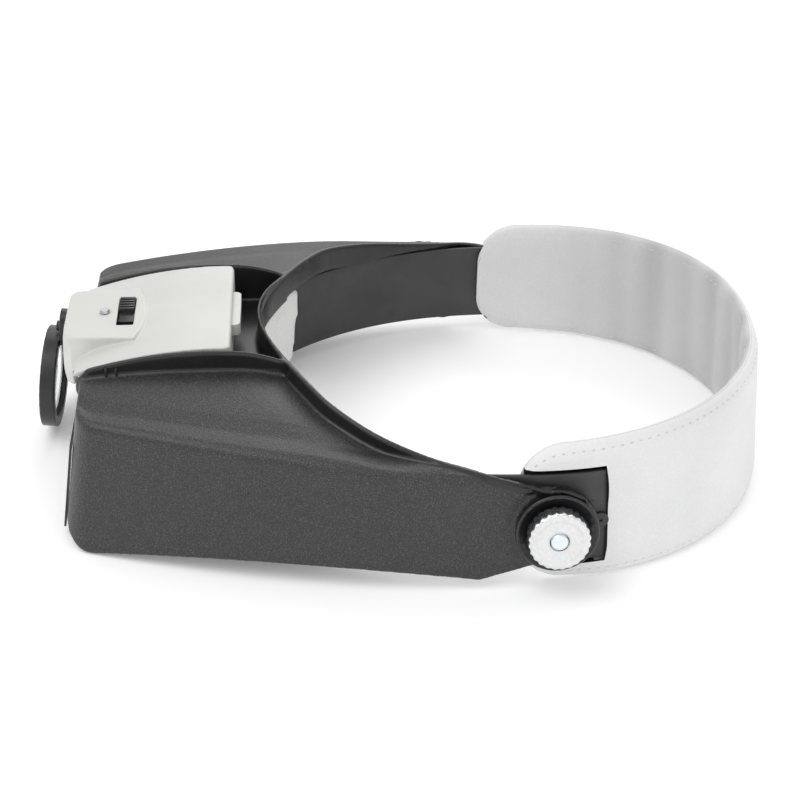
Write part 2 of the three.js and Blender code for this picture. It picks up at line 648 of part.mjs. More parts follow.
// A strip of the loop between two offsets from its outer surface and two heights.
function loopStrip(from, to, steps, near, far, lowZ, highZ, levels = 1) {
  const rings = [];
  for (let i = 0; i <= steps; i++) {
    const a = from + ((to - from) * i) / steps;
    const face = (offset) =>
      Array.from({ length: levels + 1 }, (_, k) =>
        loopPoint(a, offset, lowZ + ((highZ - lowZ) * k) / levels),
      );
    rings.push([...face(near), ...face(far).reverse()]);
  }
  return loft(rings);
}

// The angle on the wearer's left side at which the loop passes a given y.
function angleAtY(y, offset = 0) {
  let [low, high] = [-80, 80];
  for (let i = 0; i < 40; i++) {
    const middle = (low + high) / 2;
    if (loopPoint(middle, offset, BAND_MID_Z).y < y) low = middle;
    else high = middle;
  }
  return low;
}

function frontBand() {
  const end = angleAtY(84, 1.8);
  let band = loopStrip(-180 - end, end, 52, 1.1, 2.5, BAND_BOTTOM_Z, BAND_TOP_Z);
  for (const side of [1, -1]) {
    band = band.subtract(onPivot(side, -12, 0, 3.2));
    band = band.subtract(stud(side, -8, 8, 1.7));
  }
  return band;
}

const STUD_X = 81.4; // at the band's outer face
const STUD_Y = 62.7;
const STUD_Z = 21.2;
function stud(side, from, to, r) {
  const axis = V3(side, 0.12, ARM_LEAN).normalize();
  const base = V3(side * STUD_X, STUD_Y, STUD_Z);
  return rod(base.clone().addScaledVector(axis, from), base.clone().addScaledVector(axis, to), r, r, 16);
}
function sizeStud(side) {
  const shank = stud(side, -1.6, 0.6, 1.35);
  return shank.add(stud(side, 0.35, 1.25, 2.7)).subtract(stud(side, 0.7, 4, 0.6));
}

function foreheadPad() {
  const reach = 41;
  return loopStrip(-90 - reach, -90 + reach, 24, 2.8, 8.6, 2.6, 42, 2);
}

function rearStrap() {
  const start = angleAtY(70, 3.2);
  return loopStrip(start, 180 - start, 36, 2.8, 3.7, 9, 38);
}

const SLEEVE_TOP_Z = 47.8;
const SLEEVE_BOTTOM_Z = 0.4;
function sleeve() {
  const front = angleAtY(SLEEVE_FRONT_Y - 2);
  const [low, high] = [SLEEVE_BOTTOM_Z - 2, SLEEVE_TOP_Z + 8];
  const outside = loopStrip(front, 180 - front, 36, 0, SLEEVE_THICK, low, high, 2);
  // side view: round front corners, a top edge that rises to the back, a level bottom
  const r = 13;
  const top = (y) => SLEEVE_TOP_Z + 0.039 * y;
  const view = [
    ...arc(SLEEVE_FRONT_Y + r, top(SLEEVE_FRONT_Y) - r, r, Math.PI, Math.PI / 2, 8),
    [140, top(140)],
    [140, 0],
    [SLEEVE_FRONT_Y + r + 14, 0.1],
    ...arc(SLEEVE_FRONT_Y + r, SLEEVE_BOTTOM_Z + r, r, Math.PI * 1.5, Math.PI, 8),
  ];
  const pocketFrom = angleAtY(60);
  const pocket = loopStrip(pocketFrom, 180 - pocketFrom, 34, 0.8, 4.1, 5, 41.6);
  const mouth = angleAtY(20);
  const open = angleAtY(SLOT_Y);
  const slotLeft = loopStrip(mouth, open, 12, -3, 4.1, 5, 41.6);
  const slotRight = loopStrip(180 - open, 180 - mouth, 12, -3, 4.1, 5, 41.6);
  const body = outside.intersect(prism("X", view, -110, 110));
  return body.subtract(pocket).subtract(slotLeft).subtract(slotRight);
}

// ---- pivots -----------------------------------------------------------------------------------
function pivotBolt(side) {
  return onPivot(side, -5.2, 11.7, 2.9, 24).add(onPivot(side, -5.6, -4.9, 4.8, 24));
}
function frictionWasher(side) {
  return onPivot(side, -2.6, -2.05, 6.2, 28).subtract(onPivot(side, -5, 0, 3.2, 20));
}
function dishedWasher(side) {
  const under = [[3.2, 2.2], [8.6, 2.2], [13.6, 4.3], [13.8, 5.5], [13.2, 5.9]];
  const upper = [[11.8, 4.8], [8.4, 3.5], [3.2, 3.5], [3.2, 2.2]];
  return lathe([...under, ...upper], pivotFrame(side), 28);
}
const KNOB_LOBES = 24;
function knob(side) {
  const outside = [[3.2, 4], [7.4, 4], [9.5, 5], [9.5, 11.4], [8.6, 12]];
  const face = [[7.8, 11.9], [7.4, 11.5], [3.2, 11.5], [3.2, 4]];
  const body = [...outside, ...face];
  const steps = KNOB_LOBES * 3;
  const rim = Array.from({ length: steps }, (_, i) => {
    const a = (i / steps) * Math.PI * 2;
    const r = 10.05 + 0.42 * Math.cos(a * KNOB_LOBES);
    return [r * Math.cos(a), r * Math.sin(a)];
  });
  const shape = new THREE.Shape(rim.map(([a, b]) => new THREE.Vector2(a, b)));
  const geometry = new THREE.ExtrudeGeometry(shape, { depth: 5.4, bevelEnabled: false });
  const upright = place(0, 5.6, 0).multiply(new THREE.Matrix4().makeRotationX(-Math.PI / 2));
  const lobes = solid(geometry, upright.premultiply(pivotFrame(side)));
  return lobes.subtract(onPivot(side, 0, 20, 9, 24)).add(lathe(body, pivotFrame(side), 24));
}

// ---- scene graph ---------------------------------------------------------------------------
const magnifier = new THREE.Group();

function piece(group, name, shape, colour, roughness, metalness = 0, opacity = 1) {
  const material = new THREE.MeshStandardMaterial({ color: colour, roughness, metalness });
  if (opacity < 1) Object.assign(material, { transparent: true, opacity });
  const mesh = new THREE.Mesh(geometryOf(shape), material);
  mesh.name = name;
  mesh.geometry.computeVertexNormals();
  group.add(mesh);
}
function assembly() {
  const group = new THREE.Group();
  magnifier.add(group);
  return group;
}

const BLACK = 0x3c3c3e;
const SATIN_BLACK = 0x1c1c1e;
const BAND_GREY = 0x38383a;
const IVORY = 0xdfdfda;
const LEATHERETTE = 0xe6e6ea;
const CLEAR = 0xdfe8ee;
const STEEL = 0xb9bec4;

const visor = assembly();
piece(visor, "visor_shell", visorShell(), BLACK, 0.55);
piece(visor, "lens_bezel", lensBezel(), SATIN_BLACK, 0.4);
piece(visor, "main_lens", mainLens(), CLEAR, 0.05, 0, 0.35);
piece(visor, "flip_pin", flipPin(), STEEL, 0.3, 1);
piece(visor, "loupe_collar", loupeCollar(), SATIN_BLACK, 0.45);
piece(visor, "loupe_screw", loupeScrew(), STEEL, 0.3, 1);

const flip = assembly();
piece(flip, "flip_frame", flipFrame(), SATIN_BLACK, 0.45);
piece(flip, "flip_lens", flipLens(), CLEAR, 0.05, 0, 0.35);

const loupe = assembly();
piece(loupe, "loupe_frame", loupeFrame(), SATIN_BLACK, 0.45);
piece(loupe, "loupe_lens", loupeLens(), CLEAR, 0.05, 0, 0.35);

const lamp = assembly();
piece(lamp, "lamp_cover", lampCover(), IVORY, 0.45);
piece(lamp, "lamp_base", lampBase(), IVORY, 0.5);
piece(lamp, "cover_screw", coverScrew(), STEEL, 0.25, 1);
piece(lamp, "switch_slider", switchSlider(), SATIN_BLACK, 0.5);
piece(lamp, "switch_body", switchBody(), SATIN_BLACK, 0.6);
piece(lamp, "circuit_board", circuitBoard(), 0x2f6b45, 0.6);
piece(lamp, "lamp_led", lampLed(), 0xf4f4e8, 0.1, 0, 0.8);
piece(lamp, "lamp_reflector", lampReflector(), 0xd8dade, 0.15, 1);
piece(lamp, "lamp_window", lampWindow(), CLEAR, 0.05, 0, 0.35);
piece(lamp, "battery_latch", batteryLatch(), IVORY, 0.45);
CELL_Y.forEach((y, i) => {
  piece(lamp, "battery_cell_" + (i + 1), batteryCell(y, i === 0 ? -1 : 1), 0x6f7a86, 0.35, 0.6);
});
piece(lamp, "battery_contact_L", contact(1), STEEL, 0.3, 1);
piece(lamp, "battery_contact_R", contact(-1), STEEL, 0.3, 1);

const headband = assembly();
piece(headband, "front_band", frontBand(), BAND_GREY, 0.5);
piece(headband, "forehead_pad", foreheadPad(), 0xd2d2d4, 0.9);
piece(headband, "rear_strap", rearStrap(), BAND_GREY, 0.5);
piece(headband, "sleeve", sleeve(), LEATHERETTE, 0.7);

for (const [side, tag] of [
  [1, "L"],
  [-1, "R"],
]) {
  const pivot = assembly();
  piece(pivot, "size_stud_" + tag, sizeStud(side), BAND_GREY, 0.45);
  piece(pivot, "pivot_bolt_" + tag, pivotBolt(side), STEEL, 0.3, 1);
  piece(pivot, "friction_washer_" + tag, frictionWasher(side), SATIN_BLACK, 0.7);
  piece(pivot, "dished_washer_" + tag, dishedWasher(side), SATIN_BLACK, 0.35);
  piece(pivot, "knob_" + tag, knob(side), 0xe8e9eb, 0.25, 0.6);
}

export default magnifier;
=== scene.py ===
# Head visor magnifier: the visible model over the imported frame. Lengths in the code are in
# millimetres unless a name says otherwise; MM turns them into Blender's metres.
import math

import bmesh
import bpy
import numpy as np
from mathutils import Matrix, Vector


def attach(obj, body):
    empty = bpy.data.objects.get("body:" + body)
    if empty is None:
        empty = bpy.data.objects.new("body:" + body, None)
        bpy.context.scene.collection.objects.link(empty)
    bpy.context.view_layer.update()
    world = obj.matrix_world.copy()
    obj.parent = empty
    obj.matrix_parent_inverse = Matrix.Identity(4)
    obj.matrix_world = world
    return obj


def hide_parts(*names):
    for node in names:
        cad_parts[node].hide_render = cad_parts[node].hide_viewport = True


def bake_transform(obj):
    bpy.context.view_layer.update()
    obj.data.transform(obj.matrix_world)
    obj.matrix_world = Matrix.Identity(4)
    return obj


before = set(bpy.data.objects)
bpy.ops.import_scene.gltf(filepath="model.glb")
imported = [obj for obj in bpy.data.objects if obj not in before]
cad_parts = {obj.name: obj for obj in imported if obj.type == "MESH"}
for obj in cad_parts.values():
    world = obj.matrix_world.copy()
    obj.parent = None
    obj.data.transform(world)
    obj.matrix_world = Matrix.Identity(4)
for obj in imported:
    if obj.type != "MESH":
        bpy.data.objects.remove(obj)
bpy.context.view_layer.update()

MM = 0.001

# ---- shared dimensions, as in the frame ----------------------------------------------------
GAP = 0.3  # clearance between touching pieces
PIVOT_Y, PIVOT_Z = 47.4, 22.1
ARM_MID_X, ARM_LEAN, ARM_END_R = 86.1, 0.125, 14
FRONT_Y, FRONT_LEAN = -117.4, 0.145
FRONT_WALL, WALL, CORNER_R = 3.4, 2.2, 7
SIDE_START_Y, SIDE_LENGTH = -107.8, 145.95
CRADLE_HALF, CRADLE_WALL, WELL_FLOOR_Z = 30.7, 1.7, 45
LAMP_HALF, LAMP_REAR_Y, LAMP_SPLIT_Z = 30, -58.9, 50
LAMP_TILT_Y, LAMP_TILT_Z, SHELL = -97, 48.2, 1.3
BAND_BOTTOM_Z, BAND_TOP_Z = 6.5, 39
SLOT_Y, SLEEVE_FRONT_Y, SLEEVE_THICK = 66, 35, 4.9
LENS_HALF, LENS_LOW, LENS_HIGH, LENS_THICK, LENS_LIP = 50, 4.5, 34.5, 2.4, 2.5
FLIP_Y, FLIP_Z, FLIP_HALF = -104.6, 39.9, 47
LOUPE_DROP, LOUPE_R, LOUPE_HOLE_R = 21.5, 18.8, 15
LOUPE_PIVOT = Vector((-20, -119.3, 41.6))
LOUPE_YAW, LOUPE_LEAN = math.radians(3), math.radians(4.8)
SWITCH = dict(x0=-10.7, x1=8.7, y0=-99.3, y1=-93.3)
SWITCH_TRAVEL = 4
SCREW_X, SCREW_Y = -0.4, -103.8
TAB_X0, TAB_X1 = -13, 11

# ---- camera, lights and floor ----------------------------------------------------------------
camera_data = bpy.data.cameras.new("camera")
camera_data.lens = 86.26
camera = bpy.data.objects.new("camera", camera_data)
camera.location = (0.5956, -0.0283, 0.3883)
aim = Vector((0, 0.00048, 0.01871)) - camera.location
camera.rotation_euler = aim.to_track_quat("-Z", "Y").to_euler()
bpy.context.scene.collection.objects.link(camera)
bpy.context.scene.camera = camera


def area_light(name, location, target, size, power):
    data = bpy.data.lights.new(name, "AREA")
    data.size = size
    data.energy = power
    light = bpy.data.objects.new(name, data)
    light.location = location
    light.rotation_euler = (Vector(target) - light.location).to_track_quat("-Z", "Y").to_euler()
    bpy.context.scene.collection.objects.link(light)


area_light("key", (0.25, -0.55, 0.95), (0, 0, 0), 0.8, 4.2)
area_light("rear", (-0.9, 0.25, 0.75), (0, 0, 0), 0.9, 4.4)
area_light("fill", (0.95, 0.35, 0.35), (0, 0, 0.02), 0.9, 1.2)

world = bpy.data.worlds.new("studio")
world.use_nodes = True
world.node_tree.nodes["Background"].inputs["Color"].default_value = (1, 1, 1, 1)
world.node_tree.nodes["Background"].inputs["Strength"].default_value = 0.84
bpy.context.scene.world = world
bpy.context.scene.view_settings.view_transform = "Standard"


# ---- meshes ------------------------------------------------------------------------------------
def make(name, points, faces):
    mesh = bpy.data.meshes.new(name)
    mesh.from_pydata([tuple(c * MM for c in p) for p in points], [], faces)
    mesh.update()
    piece = bpy.data.objects.new(name, mesh)
    bpy.context.scene.collection.objects.link(piece)
    return piece


def loft(name, rings, ends=True):
    """A skin through rings of equally many points, closed round each ring and at both ends."""
    count = len(rings[0])
    points = [tuple(p) for ring in rings for p in ring]
    faces = []
    for i in range(len(rings) - 1):
        for j in range(count):
            a, b = i * count + j, i * count + (j + 1) % count
            faces.append((a, b, b + count, a + count))
    if ends:
        faces.append(tuple(reversed(range(count))))
        faces.append(tuple(range((len(rings) - 1) * count, len(rings) * count)))
    piece = make(name, points, faces)
    outward(piece)
    return piece


def outward(piece, weld=None):
    """Turns a closed mesh's faces to point out, after joining points nearer than weld, in metres."""
    work = bmesh.new()
    work.from_mesh(piece.data)
    if weld:
        bmesh.ops.remove_doubles(work, verts=work.verts, dist=weld)
    bmesh.ops.recalc_face_normals(work, faces=work.faces)
    if work.calc_volume(signed=True) < 0:
        bmesh.ops.reverse_faces(work, faces=work.faces)
    work.to_mesh(piece.data)
    work.free()


def moved(points, matrix):
    return [matrix @ Vector(p) for p in points] if matrix else points


def prism(name, axis, outline, low, high, matrix=None):
    """An outline of (y, z) pairs extruded along X, or of (x, y) pairs extruded along Z."""
    def at(pair, h):
        return (h, *pair) if axis == "X" else (*pair, h)

    rings = [moved([at(p, h) for p in outline], matrix) for h in (low, high)]
    return loft(name, rings)


def block(name, x0, x1, y0, y1, z0, z1, matrix=None):
    return prism(name, "Z", [(x0, y0), (x1, y0), (x1, y1), (x0, y1)], z0, z1, matrix)


def turned(name, profile, matrix, sides=96, ripple=None):
    """A closed profile of (radius, height) pairs turned about +Y of the matrix."""
    rings = []
    for k in range(sides):
        a = 2 * math.pi * k / sides
        ring = []
        for i, (r, h) in enumerate(profile):
            reach = r + (ripple(a, i) if ripple else 0)
            ring.append(matrix @ Vector((reach * math.cos(a), h, reach * math.sin(a))))
        rings.append(ring)
    piece = loft(name, rings + [rings[0]], ends=False)
    outward(piece, weld=1e-6)
    return piece


def rod(name, start, end, r, sides=48):
    start, end = Vector(start), Vector(end)
    turn = Vector((0, 0, 1)).rotation_difference(end - start).to_matrix()
    angles = [2 * math.pi * k / sides for k in range(sides)]
    circle = [turn @ Vector((r * math.cos(a), r * math.sin(a), 0)) for a in angles]
    return loft(name, [[centre + p for p in circle] for centre in (start, end)])


def bake(piece):
    """Writes a piece's modifiers into its mesh."""
    graph = bpy.context.evaluated_depsgraph_get()
    graph.update()
    mesh = bpy.data.meshes.new_from_object(piece.evaluated_get(graph))
    piece.modifiers.clear()
    piece.data = mesh
    return piece


def combine(piece, how, *tools):
    for tool in tools:
        step = piece.modifiers.new(how, "BOOLEAN")
        step.operation = how
        step.object = tool
        step.solver = "MANIFOLD"
        bake(piece)
        bpy.data.objects.remove(tool)
    return piece


def soften(piece, voxel, passes):
    """Rounds every edge of a solid: an even mesh of small cells, then relaxed."""
    remesh = piece.modifiers.new("cells", "REMESH")
    remesh.mode = "VOXEL"
    remesh.voxel_size = voxel * MM
    for _ in range(passes):
        for factor in (0.55, -0.45):
            relax = piece.modifiers.new("relax", "SMOOTH")
            relax.factor = factor
            relax.iterations = 1
    bake(piece)
    smooth(piece)


def smooth(piece, angle=None):
    piece.data.polygons.foreach_set("use_smooth", [True] * len(piece.data.polygons))
    if angle is not None:
        piece.data.set_sharp_from_angle(angle=math.radians(angle))
    piece.data.update()
    return piece


def bevel(piece, width, segments=3, angle=35, clamped=True):
    step = piece.modifiers.new("bevel", "BEVEL")
    step.use_clamp_overlap = clamped
    step.width = width * MM
    step.segments = segments
    step.limit_method = "ANGLE"
    step.angle_limit = math.radians(angle)


def curve_through(points, steps):
    """Catmull-Rom curve through the points, with the given number of steps in all."""
    p = np.array(points, float)
    p = np.vstack([2 * p[0] - p[1], p, 2 * p[-1] - p[-2]])
    t = np.linspace(0, len(points) - 1, steps + 1)
    i = np.minimum(t.astype(int), len(points) - 2)
    f = (t - i)[:, None]
    a, b, c, d = p[i], p[i + 1], p[i + 2], p[i + 3]
    return 0.5 * (2 * b + (c - a) * f + (2 * a - 5 * b + 4 * c - d) * f**2 + (3 * b - a - 3 * c + d) * f**3)


def arc(cx, cy, r, start, end, steps):
    angles = np.linspace(start, end, steps + 1)
    return [(cx + r * math.cos(a), cy + r * math.sin(a)) for a in angles]


# ---- materials ---------------------------------------------------------------------------------
NOISE_ROUGHNESS = 0.55


class Look:
    """A Principled material whose colour, roughness and bump come from textures in object space."""

    def __init__(self, name, **uniform):
        self.material = bpy.data.materials.new(name)
        self.material.use_nodes = True
        self.tree = self.material.node_tree
        self.shader = self.tree.nodes["Principled BSDF"]
        for socket, value in uniform.items():
            self.shader.inputs[socket.replace("_", " ")].default_value = value
        self.place = self.node("ShaderNodeTexCoord").outputs["Object"]
        self.normal = None

    def node(self, kind, **settings):
        made = self.tree.nodes.new(kind)
        for key, value in settings.items():
            setattr(made, key, value)
        return made

    def link(self, source, target):
        self.tree.links.new(source, target)

    def stretched(self, scale):
        mapping = self.node("ShaderNodeMapping")
        mapping.inputs["Scale"].default_value = scale
        self.link(self.place, mapping.inputs["Vector"])
        return mapping.outputs["Vector"]

    def noise(self, scale, detail=3, stretch=None):
        made = self.node("ShaderNodeTexNoise")
        made.inputs["Scale"].default_value = scale
        made.inputs["Detail"].default_value = detail
        made.inputs["Roughness"].default_value = NOISE_ROUGHNESS
        self.link(self.stretched(stretch) if stretch else self.place, made.inputs["Vector"])
        return made.outputs["Fac"]

    def cells(self, scale):
        made = self.node("ShaderNodeTexVoronoi")
        made.inputs["Scale"].default_value = scale
        self.link(self.place, made.inputs["Vector"])
        return made.outputs["Distance"]

    def ramp(self, value, low, high, start=0.0, end=1.0):
        made = self.node("ShaderNodeMapRange")
        for key, number in zip(("From Min", "From Max", "To Min", "To Max"), (low, high, start, end)):
            made.inputs[key].default_value = number
        self.link(value, made.inputs["Value"])
        return made.outputs["Result"]

    def maths(self, operation, a, b):
        made = self.node("ShaderNodeMath", operation=operation)
        for socket, value in zip(made.inputs, (a, b)):
            if isinstance(value, (int, float)):
                socket.default_value = value
            else:
                self.link(value, socket)
        return made.outputs[0]

    def colours(self, value, dark, light):
        made = self.node("ShaderNodeMix", data_type="RGBA")
        made.inputs[6].default_value = (*dark, 1)
        made.inputs[7].default_value = (*light, 1)
        self.link(value, made.inputs[0])
        return made.outputs[2]

    def blended(self, value, first, second):
        made = self.node("ShaderNodeMix", data_type="RGBA")
        self.link(first, made.inputs[6])
        self.link(second, made.inputs[7])
        self.link(value, made.inputs[0])
        return made.outputs[2]

    def attribute(self, name):
        return self.node("ShaderNodeAttribute", attribute_name=name).outputs["Fac"]

    def colour(self, value):
        self.link(value, self.shader.inputs["Base Color"])
        return self

    def roughness(self, value):
        self.link(value, self.shader.inputs["Roughness"])
        return self

    def bump(self, height, depth_mm, strength=1.0):
        made = self.node("ShaderNodeBump")
        made.inputs["Distance"].default_value = depth_mm * MM
        if isinstance(strength, (int, float)):
            made.inputs["Strength"].default_value = strength
        else:
            self.link(strength, made.inputs["Strength"])
        self.link(height, made.inputs["Height"])
        if self.normal:
            self.link(self.normal, made.inputs["Normal"])
        self.normal = made.outputs["Normal"]
        self.link(self.normal, self.shader.inputs["Normal"])
        return self


def grained_plastic():
    look = Look("grained_plastic", Specular_IOR_Level=0.5)
    polish = look.attribute("polish")
    matt = look.maths("SUBTRACT", 1, polish)
    grain = look.maths("ADD", look.cells(1150), look.maths("MULTIPLY", look.noise(2600, 2), 0.5))
    # light flecks in the grain's colour: the grain's own speckle, and painted glints standing in for its
    # sparkle
    speck_and_glint = look.maths("MULTIPLY", look.ramp(look.noise(2500, 1), 0.5, 0.7), matt)
    cloud = look.noise(28, 4)
    tone = look.maths("ADD", look.maths("MULTIPLY", speck_and_glint, 0.75), look.maths("MULTIPLY", cloud, 0.25))
    grey = look.colours(tone, (0.009, 0.009, 0.010), (0.080, 0.080, 0.082))
    look.colour(look.blended(polish, grey, look.colours(cloud, (0.008, 0.008, 0.008), (0.014, 0.014, 0.014))))
    rough = look.maths("ADD", look.maths("MULTIPLY", matt, 0.15), look.ramp(cloud, 0.3, 0.7, 0.24, 0.34))
    look.roughness(rough)
    look.bump(grain, 0.12, look.maths("ADD", look.maths("MULTIPLY", matt, 0.6), 0.03))
    return look.material


def moulded(name, dark, light, rough, grain=0.02, grain_scale=1400):
    look = Look(name)
    cloud = look.noise(45, 5)
    look.colour(look.colours(look.ramp(cloud, 0.3, 0.7), dark, light))
    look.roughness(look.ramp(look.noise(160, 4), 0.3, 0.7, *rough))
    look.bump(look.noise(grain_scale, 3), grain, 0.6)
    look.bump(look.noise(60, 2), 0.06, 0.25)
    return look.material


def metal(name, dark, light, rough, stretch=(1, 1, 1), scratch=0.012):
    look = Look(name, Metallic=1.0)
    brushed = look.noise(900, 4, stretch)
    look.colour(look.colours(look.ramp(brushed, 0.3, 0.7), dark, light))
    look.roughness(look.ramp(look.noise(300, 4, stretch), 0.3, 0.7, *rough))
    look.bump(brushed, scratch, 0.5)
    return look.material


def leatherette():
    look = Look("leatherette", Sheen_Weight=0.15)
    shade = look.attribute("shade")
    cloud = look.noise(22, 4)
    pores = look.cells(1500)
    tone = look.maths("ADD", look.ramp(cloud, 0.3, 0.7, 0, 0.6), look.maths("MULTIPLY", pores, 0.5))
    outer = look.colours(tone, (0.65, 0.65, 0.655), (0.77, 0.77, 0.775))
    # the shade attribute blends in a dark grey: painted shade on the sleeve's inner face
    look.colour(look.blended(shade, outer, look.colours(tone, (0.20, 0.195, 0.20), (0.25, 0.245, 0.25))))
    look.roughness(look.ramp(look.noise(300, 3), 0.3, 0.7, 0.5, 0.64))
    look.bump(pores, 0.07, 0.6)
    look.bump(look.noise(75, 3), 0.25, 0.35)
    return look.material


def knitted(name, dark, light, pitch_mm):
    look = Look(name, Sheen_Weight=0.3, Roughness=0.9)
    per = 2 * math.pi / (pitch_mm * MM)
    spread = look.node("ShaderNodeSeparateXYZ")
    look.link(look.place, spread.inputs[0])
    columns = look.maths("SINE", look.maths("MULTIPLY", spread.outputs["X"], per), 0)
    along = look.maths("SINE", look.maths("MULTIPLY", spread.outputs["Y"], per), 0)
    rows = look.maths("SINE", look.maths("MULTIPLY", spread.outputs["Z"], per), 0)
    weave = look.maths("MULTIPLY", look.maths("MAXIMUM", columns, along), rows)
    fuzz = look.noise(2200, 3)
    tone = look.maths("ADD", look.ramp(weave, -1, 1, 0, 0.6), look.maths("MULTIPLY", fuzz, 0.4))
    look.colour(look.colours(tone, dark, light))
    look.roughness(look.ramp(fuzz, 0.3, 0.7, 0.82, 0.95))
    look.bump(weave, 0.18, 0.7)
    look.bump(fuzz, 0.08, 0.5)
    return look.material


def clear(name, tint, ior):
    look = Look(name, Transmission_Weight=1.0, IOR=ior)
    smear = look.noise(35, 4)
    look.colour(look.colours(smear, tuple(c * 0.97 for c in tint), tint))
    look.roughness(look.ramp(smear, 0.4, 0.8, 0.01, 0.06))
    return look.material


def floor_look():
    look = Look("pale_floor", Specular_IOR_Level=0.1, Emission_Strength=0.12)
    look.shader.inputs["Emission Color"].default_value = (1, 1, 1, 1)
    look.colour(look.colours(look.noise(3, 2), (0.93, 0.93, 0.935), (0.95, 0.95, 0.95)))
    look.roughness(look.ramp(look.noise(8, 3), 0.3, 0.7, 0.75, 0.85))
    return look.material


VISOR_LOOK = grained_plastic()
SATIN_BLACK = moulded("satin_black", (0.012, 0.012, 0.013), (0.024, 0.024, 0.026), (0.28, 0.42))
GLOSS_BLACK = moulded("gloss_black", (0.010, 0.010, 0.011), (0.020, 0.020, 0.021), (0.16, 0.3), 0.01)
BAND_LOOK = moulded("band_plastic", (0.028, 0.028, 0.030), (0.046, 0.046, 0.048), (0.42, 0.56), 0.03, 1800)
LAMP_LOOK = moulded("lamp_plastic", (0.53, 0.53, 0.505), (0.575, 0.575, 0.55), (0.36, 0.5), 0.015, 1900)
RUBBER_LOOK = moulded("washer_rubber", (0.015, 0.015, 0.015), (0.03, 0.03, 0.03), (0.7, 0.85), 0.05)
BOARD_LOOK = moulded("board", (0.02, 0.10, 0.05), (0.04, 0.16, 0.08), (0.35, 0.5))
CELL_LOOK = metal("cell_jacket", (0.16, 0.22, 0.30), (0.26, 0.32, 0.40), (0.25, 0.4))
BOLT_LOOK = metal("bolt_zinc", (0.58, 0.66, 0.70), (0.84, 0.90, 0.93), (0.25, 0.45), (1, 6, 1))
STEEL_LOOK = metal("zinc_steel", (0.40, 0.41, 0.42), (0.66, 0.67, 0.68), (0.22, 0.42), (1, 6, 1))
CHROME_LOOK = metal("knob_chrome", (0.74, 0.75, 0.77), (0.88, 0.89, 0.90), (0.12, 0.26))
FACE_LOOK = metal("knob_face", (0.70, 0.70, 0.70), (0.78, 0.78, 0.78), (0.5, 0.62), scratch=0.01)
MIRROR_LOOK = metal("reflector", (0.82, 0.83, 0.85), (0.92, 0.92, 0.93), (0.04, 0.12))
LEATHER_LOOK = leatherette()
PAD_LOOK = knitted("pad_cloth", (0.80, 0.80, 0.79), (0.95, 0.95, 0.94), 1.1)
THREAD_LOOK = knitted("thread", (0.56, 0.56, 0.57), (0.74, 0.74, 0.76), 0.5)
ACRYLIC_LOOK = clear("acrylic", (0.97, 0.985, 0.99), 1.49)
LED_LOOK = clear("led_resin", (0.97, 0.97, 0.93), 1.5)


def finish(piece, look, body, replaces=()):
    """Gives a piece its look and its body; "between" is what flexes as the headband's size changes."""
    piece.data.materials.clear()
    piece.data.materials.append(look)
    if body == "between":
        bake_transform(piece)
    else:
        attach(piece, body)
    if replaces:
        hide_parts(*replaces)


def dress(node, look, width=0.0):
    """Gives a node of the frame its finish, and rounds its edges by a small width."""
    piece = bpy.data.objects[node]
    piece.data.materials.clear()
    piece.data.materials.append(look)
    if width:
        bevel(piece, width, 2, 40)


FLOOR_HALF = 6000
floor_corners = [(x * FLOOR_HALF, y * FLOOR_HALF, 0) for x, y in ((-1, -1), (1, -1), (1, 1), (-1, 1))]
floor = make("floor", floor_corners, [(0, 1, 2, 3)])
floor.location.z = -0.0004  # metres: just under the object
floor.data.materials.append(floor_look())

# ---- visor ---------------------------------------------------------------------------------------
FRONT_FRAME = Matrix.Translation((0, FRONT_Y, 0)) @ Matrix.Rotation(-math.atan(FRONT_LEAN), 4, "X")
RIM_THICK, RIM_STEPS = 1.9, 120
RIM = [
    (0, -49.2, 55.6), (11.4, -47.8, 55.7), (22.8, -43.9, 55.7), (34.2, -38.6, 55.4), (45.6, -32.4, 54.4),
    (56.9, -24.6, 52.4), (68.3, -10.8, 48.2), (76, 5.5, 44), (80, 18.5, 41.6), (83.4, 27.5, 40.1),
]
RIM_ON_ARM = [  # the bead runs on along each arm and round its end
    (84.9, 34.5, 38.7), (85.3, 42, 36.6), (85.3, 47.4, 35.6), (85.4, 52, 34.7), (85.6, 56, 32.3),
    (85.9, 58.8, 28.8),
]
CRADLE_TOP = [
    (-112.1, 46), (-111.9, 48.6), (-111.1, 50.4), (-109.4, 51.8), (-107.6, 53.9), (-102, 55.4),
    (-96.9, 56.6), (-86.3, 58.5), (-75.6, 59.5), (-65, 59.8), (-54.3, 59.2), (-46.5, 57.4), (-40, 55),
]
GUTTER_DEPTH, GUTTER_WIDTH = 2.6, 9
GUTTER_FULL_Y, GUTTER_END_Y = -12, 14  # the gutter fades out between these
HOLLOW_DEPTH = 0.9
HOLLOW_AT, HOLLOW_WIDTH, ROOF_EDGE = 0.86, 0.06, 0.955  # as parts of the roof's half-width
CREASE_Z = 48  # about how high the crease lies at the front
RIM_SMOOTH_DEPTH, BEAD_SMOOTH_DEPTH, BEAD_START_Y = 10, 1.2, 25
POLISH_REACH, POLISH_FADE = 2.6, 0.9  # from the middle of the rim


def clamp(t, low=0.0, high=1.0):
    return max(low, min(high, t))


def smoothstep(x, low, high):
    t = clamp((x - low) / (high - low))
    return t * t * (3 - 2 * t)


def crease_u(y):
    return (y - SIDE_START_Y) / SIDE_LENGTH


def crease_x(y):
    u = min(crease_u(y), 0.94)
    return 56.91 + 56.48 * u - 22.77 * u * u - 5.48 * u**3


def crease_z(y):
    u = crease_u(y)
    return 47.76 - 1.06 * u - 9.25 * u * u


def side_x(y, z):
    lean = 0.155 - 0.03 * clamp((y - SIDE_START_Y) / 128)
    return crease_x(y) + lean * (crease_z(y) - z)


def roof_z(x, y):
    middle = 54 - 2.4 * clamp((-80 - y) / 30) ** 2
    return crease_z(y) + (middle - crease_z(y)) * (1 - (x / crease_x(y)) ** 2)


